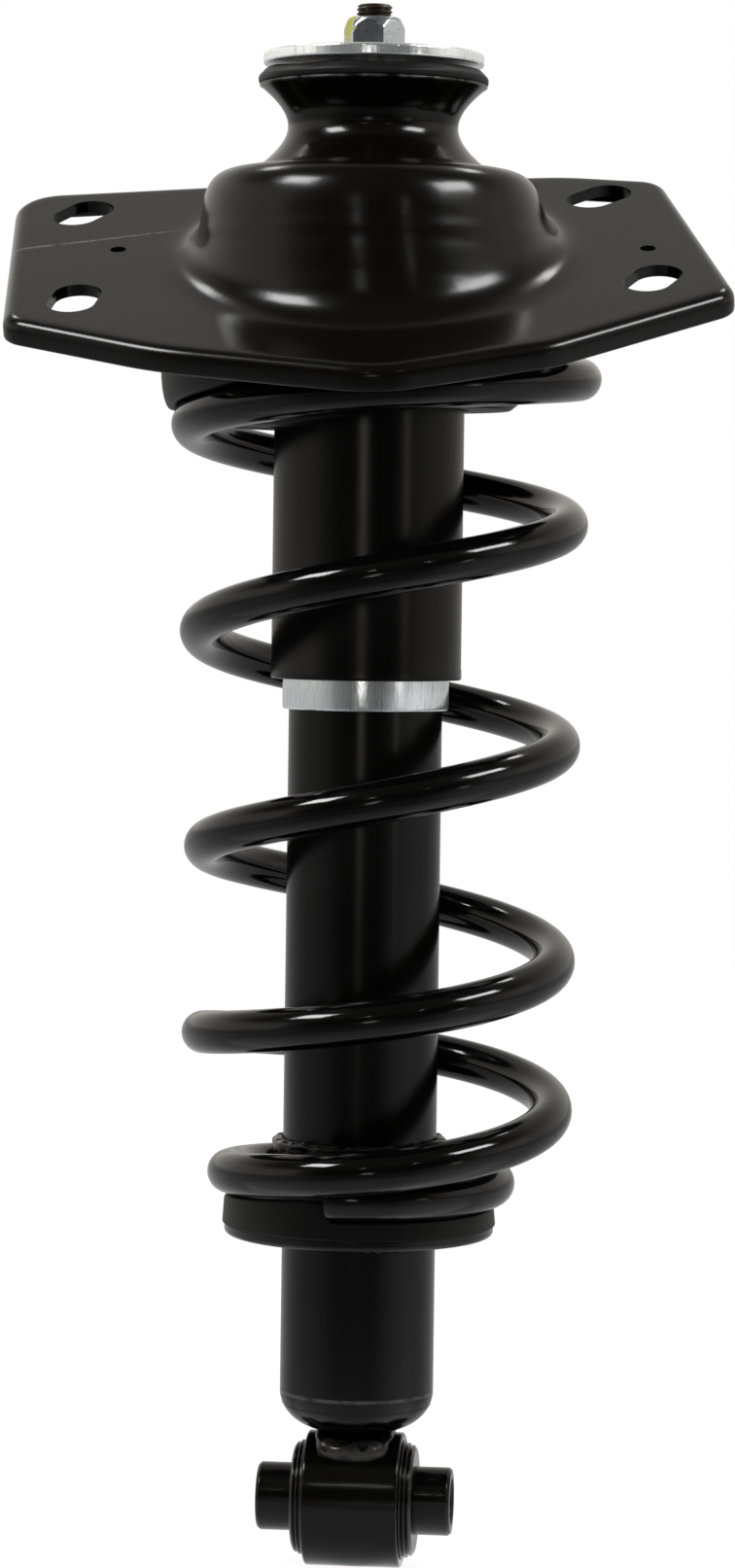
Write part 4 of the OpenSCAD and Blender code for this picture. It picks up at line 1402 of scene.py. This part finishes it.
@dataclass
class DamperBody:
    """The tube, its bright striker cap and the bowl that closes its foot."""

    wall: float = 1.8
    neck: float = 9.8
    cap_bore: float = 8.5
    turn_in: float = 4.3
    bowl_share: float = 0.85

    def foot_curve(self) -> Array:
        """Quarter ellipse from the neck out to the tube, which it meets a little above the tube's lower end.

        Returns:
            (radius, height) points.
        """
        low, r, end = low_z("base_cap"), radius_of("reservoir_tube"), low_z("reservoir_tube")
        a = np.linspace(0, math.pi / 2, 41)[1:]
        deep = (end - low) * self.bowl_share + self.turn_in
        return np.stack([self.neck + (r - self.neck) * np.sin(a), end + self.turn_in - deep * np.cos(a)], axis=1)

    def tube(self) -> bpy.types.Object:
        """Reservoir tube: the upper part of the foot's curve, a straight side and an end turned in over the guide.

        Returns:
            The piece.
        """
        low, high, r = span("reservoir_tube")
        inner, guide = r - self.wall, r - self.wall - 4
        curve = self.foot_curve()
        curve = curve[curve[:, 1] > low + 0.2]
        upper = fillet([(r, low + 8, 0), (r, high, 2.2), (guide, high, 0.4), (guide, high - 2, 0.2),
                        (inner, high - 2, 0.2), (inner, low + 1, 0)], closed=False)
        section = np.vstack([[[inner, low], [curve[0, 0], low]], curve, upper])
        return lathe("reservoir_tube_wall", section, 192)

    def striker(self) -> bpy.types.Object:
        """Striker cap: a bright cup over the tube's end, its skirt rolled at the foot.

        Returns:
            The piece.
        """
        low, high, r = span("striker_cap")
        bore, top = radius_of("reservoir_tube") + 0.05, high - 2
        section = fillet([(bore, low + 0.2, 0.3), (r - 0.1, low, 0.7), (r, low + 2, 0), (r, high, 1.6),
                          (self.cap_bore, high, 0.5), (self.cap_bore, top, 0.2), (bore, top, 0.2)])
        return lathe("striker_cap_ring", section, 200)

    def bowl(self) -> bpy.types.Object:
        """Base cap: the lower part of the foot's curve, and its floor inside.

        Returns:
            The piece.
        """
        low, end = low_z("base_cap"), low_z("reservoir_tube")
        floor, inner = low_z("pressure_tube") - 3, radius_of("reservoir_tube") - self.wall
        curve = self.foot_curve()
        curve = curve[curve[:, 1] < end - 0.1]
        inside = [[curve[-1, 0], end], [inner, end + 0.1], [inner, floor + 5], [inner - 3, floor + 5],
                  [inner - 3, floor + 2], [0, floor + 2]]
        section = np.vstack([[[0, low], [self.neck, low]], curve, inside])
        return lathe("base_cap_bowl", section, 192, closed=False)

    def build(self, dresser: Dresser) -> None:
        """Builds and dresses the pieces; a thin rough line of pale dots runs round the tube where it turns in: weld
        spatter, with a painted highlight in its pale tone.

        Args:
            dresser: Gives each piece its place and its finish.
        """
        seam = (low_z("reservoir_tube") + self.turn_in) * MM
        # the seam's pale dots: weld spatter, with a painted highlight in their pale tone
        crease = BlackPaint("tube_black", BLACK, 0.19, dust=0.004, specular=0.22,
                            band=(seam - 0.0003, seam + 0.0004), band_tone=0.06)
        dresser.dress(self.tube(), "reservoir_tube", crease.build())
        dresser.dress(self.striker(), "striker_cap")
        dresser.dress(self.bowl(), "base_cap")


@dataclass
class LowerEye:
    """The eye, its weld, its rubber bushing and the sleeve through it."""

    wall: float = 3.2
    sleeve_bore: float = 14.2
    shell_wall: float = 1.2
    lip_r: float = 19.4
    weld_x: float = 11.4
    weld_y: float = 13.4
    weld_square: float = 0.6
    weld_flat: float = 10.6
    weld_r: float = 1.7
    weld_front: float = 2.4

    def ring(self) -> bpy.types.Object:
        """Eye ring: a short tube with rounded rims.

        Returns:
            The piece.
        """
        r, half = -low_z("eye_ring"), radius_of("eye_ring")
        section = fillet(mirrored([(r - self.wall, -half, 0.5), (r, -half, 0.9)]))
        return lathe("eye_ring_tube", section, 192, Axis.EYE)

    def rubber(self) -> bpy.types.Object:
        """Eye bushing: rubber between the ring and the sleeve, with ridges outside each rim.

        Returns:
            The piece.
        """
        half, inner = radius_of("eye_bushing"), -low_z("inner_sleeve") + 0.05
        ring_half = radius_of("eye_ring")
        out = -low_z("eye_ring") - self.wall - self.shell_wall
        ridges = ((-2.5, 0.0, 0.7), (-1.4, 0.8, 0.4), (-1.4, 1.4, 0.3), (-2.1, 1.7, 0.2), (-0.7, 2.1, 0.4),
                  (-0.7, 2.9, 0.4), (-1.4, 3.2, 0.2), (0.0, 3.5, 0.4), (0.0, half - ring_half, 0.2))
        side = [(inner, -half, 0.3), *((self.lip_r + dr, -half + dx, e) for dr, dx, e in ridges),
                (out, -ring_half, 0.1)]
        return lathe("eye_bushing_rubber", fillet(mirrored(side), steps=4), 160, Axis.EYE)

    def sleeve(self) -> bpy.types.Object:
        """Inner sleeve: a tube with turned chamfers at both ends.

        Returns:
            The piece.
        """
        r, half, bore = -low_z("inner_sleeve"), radius_of("inner_sleeve"), self.sleeve_bore / 2
        side = [(bore, -half + 0.9, 0.2), (bore + 0.9, -half, 0.2), (r - 0.8, -half, 0.3), (r, -half + 1.0, 0.5)]
        return lathe("inner_sleeve_tube", fillet(mirrored(side), steps=4), 160, Axis.EYE)

    def weld(self) -> bpy.types.Object:
        """Weld: a low bead along the curve in which the neck, a rounded rectangle, meets the eye; it is broad and
        flat in front.

        Returns:
            The piece.
        """
        r, a, b = -low_z("eye_ring"), full_turn(260), full_turn(22)[None]
        x, y = (reach * np.sign(k) * np.abs(k) ** self.weld_square
                for reach, k in ((self.weld_x, np.cos(a)), (self.weld_y, np.sin(a))))
        front = np.clip((self.weld_flat - np.abs(x)) / 2, 0, 1) * (y < 0)
        line = np.stack([x, y + 0.9 * front, np.sqrt((r + 0.2) ** 2 - y ** 2) - 0.5 * front], axis=1)
        lumps = 0.5 * ripples(a, 3, (5, 9, 14))[:, None] + 0.5 * ripples(b * 2 + 5 * np.sin(a)[:, None], 6, (1, 2))
        thick = (self.weld_r + self.weld_front * front)[:, None] + 0.45 * lumps
        return sweep("eye_weld_bead", line, thick, b.size, closed=True)

    def build(self, dresser: Dresser) -> None:
        """Builds and dresses the pieces, each but the sleeve with a paint of its own.

        Args:
            dresser: Gives each piece its place and its finish.
        """
        gloss = BlackPaint("eye_black", BLACK, 0.14, dust=0.003, specular=0.22)
        lips = BlackPaint("lip_black", (0.002,) * 3, 0.16, specular=0.3)
        # the weld's pale front face is a painted reflection
        bead = WeldMetal("eye_weld_black", (0.003,) * 3, (0.034, 0.032, 0.030), 0.0115)
        dresser.dress(self.ring(), "eye_ring", gloss.build())
        dresser.dress(self.rubber(), "eye_bushing", lips.build())
        dresser.dress(self.sleeve(), "inner_sleeve")
        dresser.dress(self.weld(), "eye_weld", bead.build())


# ---------------------------------------------------------------- studio


@dataclass(frozen=True)
class Softbox:
    """A soft lamp that points at a place on the strut."""

    name: str
    place: Triple
    target: Triple
    size: tuple[float, float]
    power: float

    def build(self) -> None:
        """Adds the lamp, turned so that its face looks at the target."""
        data = bpy.data.lights.new(self.name, "AREA")
        data.shape, data.energy = "RECTANGLE", self.power
        data.size, data.size_y = self.size
        lamp = bpy.data.objects.new(self.name, data)
        lamp.location = self.place
        lamp.rotation_euler = (Vector(self.target) - Vector(self.place)).to_track_quat("-Z", "Y").to_euler()
        bpy.context.scene.collection.objects.link(lamp)


@dataclass
class Studio:
    """Camera, lamps, pale floor and white surroundings."""

    azimuth: float = 6.0
    distance: float = 1.513
    eye_height: float = 0.3127
    roll: float = 0.76
    focal_px: float = 4700.0
    width_px: float = 756.0
    shift_y: float = -0.3128
    floor_z: float = -0.0225
    soft_light: float = 0.42
    boxes: tuple[Softbox, ...] = (
        Softbox("window_left", (-0.62, 0.52, 1.42), (0, 0, 0.42), (0.26, 0.14), 1.4),
        Softbox("window_right", (0.48, 0.62, 1.42), (0, 0, 0.42), (0.26, 0.14), 1.4),
        Softbox("key_left", (-0.74, -0.54, 1.26), (0, 0, 0.35), (0.44, 0.30), 13.0),
        Softbox("key_right", (0.96, -0.36, 1.20), (0, 0, 0.35), (0.54, 0.25), 12.0),
        Softbox("spot_front", (-0.21, -2.0, 1.30), (0, 0, 0.35), (0.03, 0.03), 0.35),
        Softbox("spot_right", (0.90, -1.75, 1.30), (0, 0, 0.35), (0.03, 0.03), 0.2),
    )
    low_bands: Stops = (
        (-180, 0.5), (-125, 0.55), (-90, 0.66), (-68, 0.72), (-52, 0.44), (-38, 0.22), (-14, 0.12), (38, 0.08),
        (49, 0.24), (58, 0.2), (66, 0.32), (84, 0.46), (106, 0.48), (130, 0.5), (180, 0.5))
    strips: Stops = (
        (-180, 0), (-3.8, 0), (-2.6, 4.2), (2.8, 4.2), (4.2, 0), (50, 0), (51.5, 2.3), (55.5, 2.3), (57, 0),
        (180, 0))
    high_bands: Stops = (
        (-180, 0.8), (-130, 1.0), (-60, 1.1), (-50, 0.32), (-40, 0.12), (-32, 0.05), (52, 0.05), (62, 0.3),
        (72, 0.75), (80, 0.92), (100, 1.05), (112, 0.75), (130, 0.8), (180, 0.8))
    floor_bands: Stops = (
        (-180, 0.5), (-125, 0.5), (-100, 0.45), (-68, 0.42), (-48, 0.32), (-35, 0.15), (-15, 0.07), (30, 0.08),
        (42, 0.26), (60, 0.55), (82, 0.7), (106, 0.52), (140, 0.45), (180, 0.5))
    floor_side: float = 12.0
    floor_white: float = 1.08
    floor_shadow: float = 0.12
    warm: Colour = (1.0, 0.95, 0.88)

    def camera(self) -> None:
        """Camera level with the spring, rolled a little, its frame shifted down to take in the eye."""
        data = bpy.data.cameras.new("camera")
        data.sensor_fit, data.sensor_width = "HORIZONTAL", 36.0
        data.lens = data.sensor_width * self.focal_px / self.width_px
        data.shift_y, data.clip_end = self.shift_y, 50.0
        eye = bpy.data.objects.new("camera", data)
        a = math.radians(self.azimuth)
        place = (math.sin(a) * self.distance, -math.cos(a) * self.distance, self.eye_height)
        eye.matrix_world = (Matrix.Translation(place) @ Matrix.Rotation(a, 4, "Z")
                            @ Matrix.Rotation(math.radians(90), 4, "X")
                            @ Matrix.Rotation(math.radians(self.roll), 4, "Z"))
        bpy.context.scene.collection.objects.link(eye)
        bpy.context.scene.camera = eye

    def floor_glow(self, g: Graph) -> Term:
        """What reflections see of the floor: bands by direction, strips far off and a paler patch by the foot.

        Args:
            g: The floor's nodes.

        Returns:
            Brightness.
        """
        away = g.length()
        return (g.azimuth(self.floor_bands) + g.azimuth(self.strips) * away.step(5.0, 9.0) * 0.8
                + away.step(2.0, 0.7) * 0.12 + away.step(0.5, 0.1) * g.y.step(0.04, 0.0) * 0.5)

    def floor(self) -> None:
        """Pale floor: white to the camera with a trace of the shadow, plain matt to the rest."""
        side = self.floor_side
        grid = np.array([[-side, -side], [side, -side], [side, side], [-side, side]])
        mesh = bpy.data.meshes.new("floor")
        mesh.from_pydata(np.column_stack([grid, np.full(4, self.floor_z)]).tolist(), [], [[0, 1, 2, 3]])
        piece = bpy.data.objects.new("floor", mesh)
        bpy.context.scene.collection.objects.link(piece)
        g = Graph(bpy.data.materials.new("floor_pale"))
        rays = g.node("ShaderNodeLightPath")
        camera, glossy = (Term(g, rays.outputs[k]) for k in ("Is Camera Ray", "Is Glossy Ray"))
        tone = g.mix(camera, (0.35, 0.35, 0.35), (0.95, 0.95, 0.95))
        matt = g.node("ShaderNodeBsdfDiffuse", {}, {"Color": tone})
        strength = g.blend(glossy, self.floor_white, self.floor_glow(g))
        white = g.node("ShaderNodeEmission", {}, {"Color": (1, 1, 1, 1), "Strength": strength})
        share = camera * (1 - self.floor_shadow) + glossy
        shaders = Term(g, matt.outputs[0]), Term(g, white.outputs[0])
        blend = g.node("ShaderNodeMixShader", {}, {0: share, 1: shaders[0], 2: shaders[1]})
        g.node("ShaderNodeOutputMaterial", {}, {"Surface": Term(g, blend.outputs[0])})
        mesh.materials.append(g.owner)

    def surroundings(self) -> None:
        """World: white to the camera; reflections see it dark in front, grey at the sides, bright above."""
        world = bpy.data.worlds.new("studio")
        bpy.context.scene.world = world
        g = Graph(world, "Generated")
        rays = g.node("ShaderNodeLightPath")
        camera, through, glossy = (
            Term(g, rays.outputs["Is " + kind + " Ray"]) for kind in ("Camera", "Transmission", "Glossy"))
        walls = g.blend(g.z.step(0.05, 0.14), g.azimuth(self.low_bands) + g.azimuth(self.strips),
                        g.azimuth(self.high_bands))
        ceiling = g.y.step(0.0, 0.5) * 0.4 + 0.13
        mirror = g.blend(g.z.step(0.35, 0.65), walls, ceiling)
        level = g.blend(camera + through, g.blend(glossy, self.soft_light, mirror), 1.0)
        light = g.node("ShaderNodeBackground", {}, {"Color": g.mix(glossy, (1.0, 1.0, 1.0), self.warm),
                                                    "Strength": level})
        g.node("ShaderNodeOutputWorld", {}, {"Surface": Term(g, light.outputs[0])})

    def build(self) -> None:
        """Builds the whole studio."""
        self.camera()
        self.floor()
        self.surroundings()
        for box in self.boxes:
            box.build()
        bpy.context.scene.view_settings.view_transform = "Standard"


# ---------------------------------------------------------------- main


def main() -> None:
    """Builds every sub-assembly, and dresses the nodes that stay."""
    Studio().build()
    dresser = Dresser()
    for group in (TopMount(), StudEnd(), SpringGroup(), Shield(), DamperBody(), LowerEye()):
        group.build(dresser)
        LOG.info("%s done", type(group).__name__)
    dresser.dress_rest()


if __name__ == "__main__":
    logging.basicConfig(level=logging.INFO, format="%(message)s")
    main()
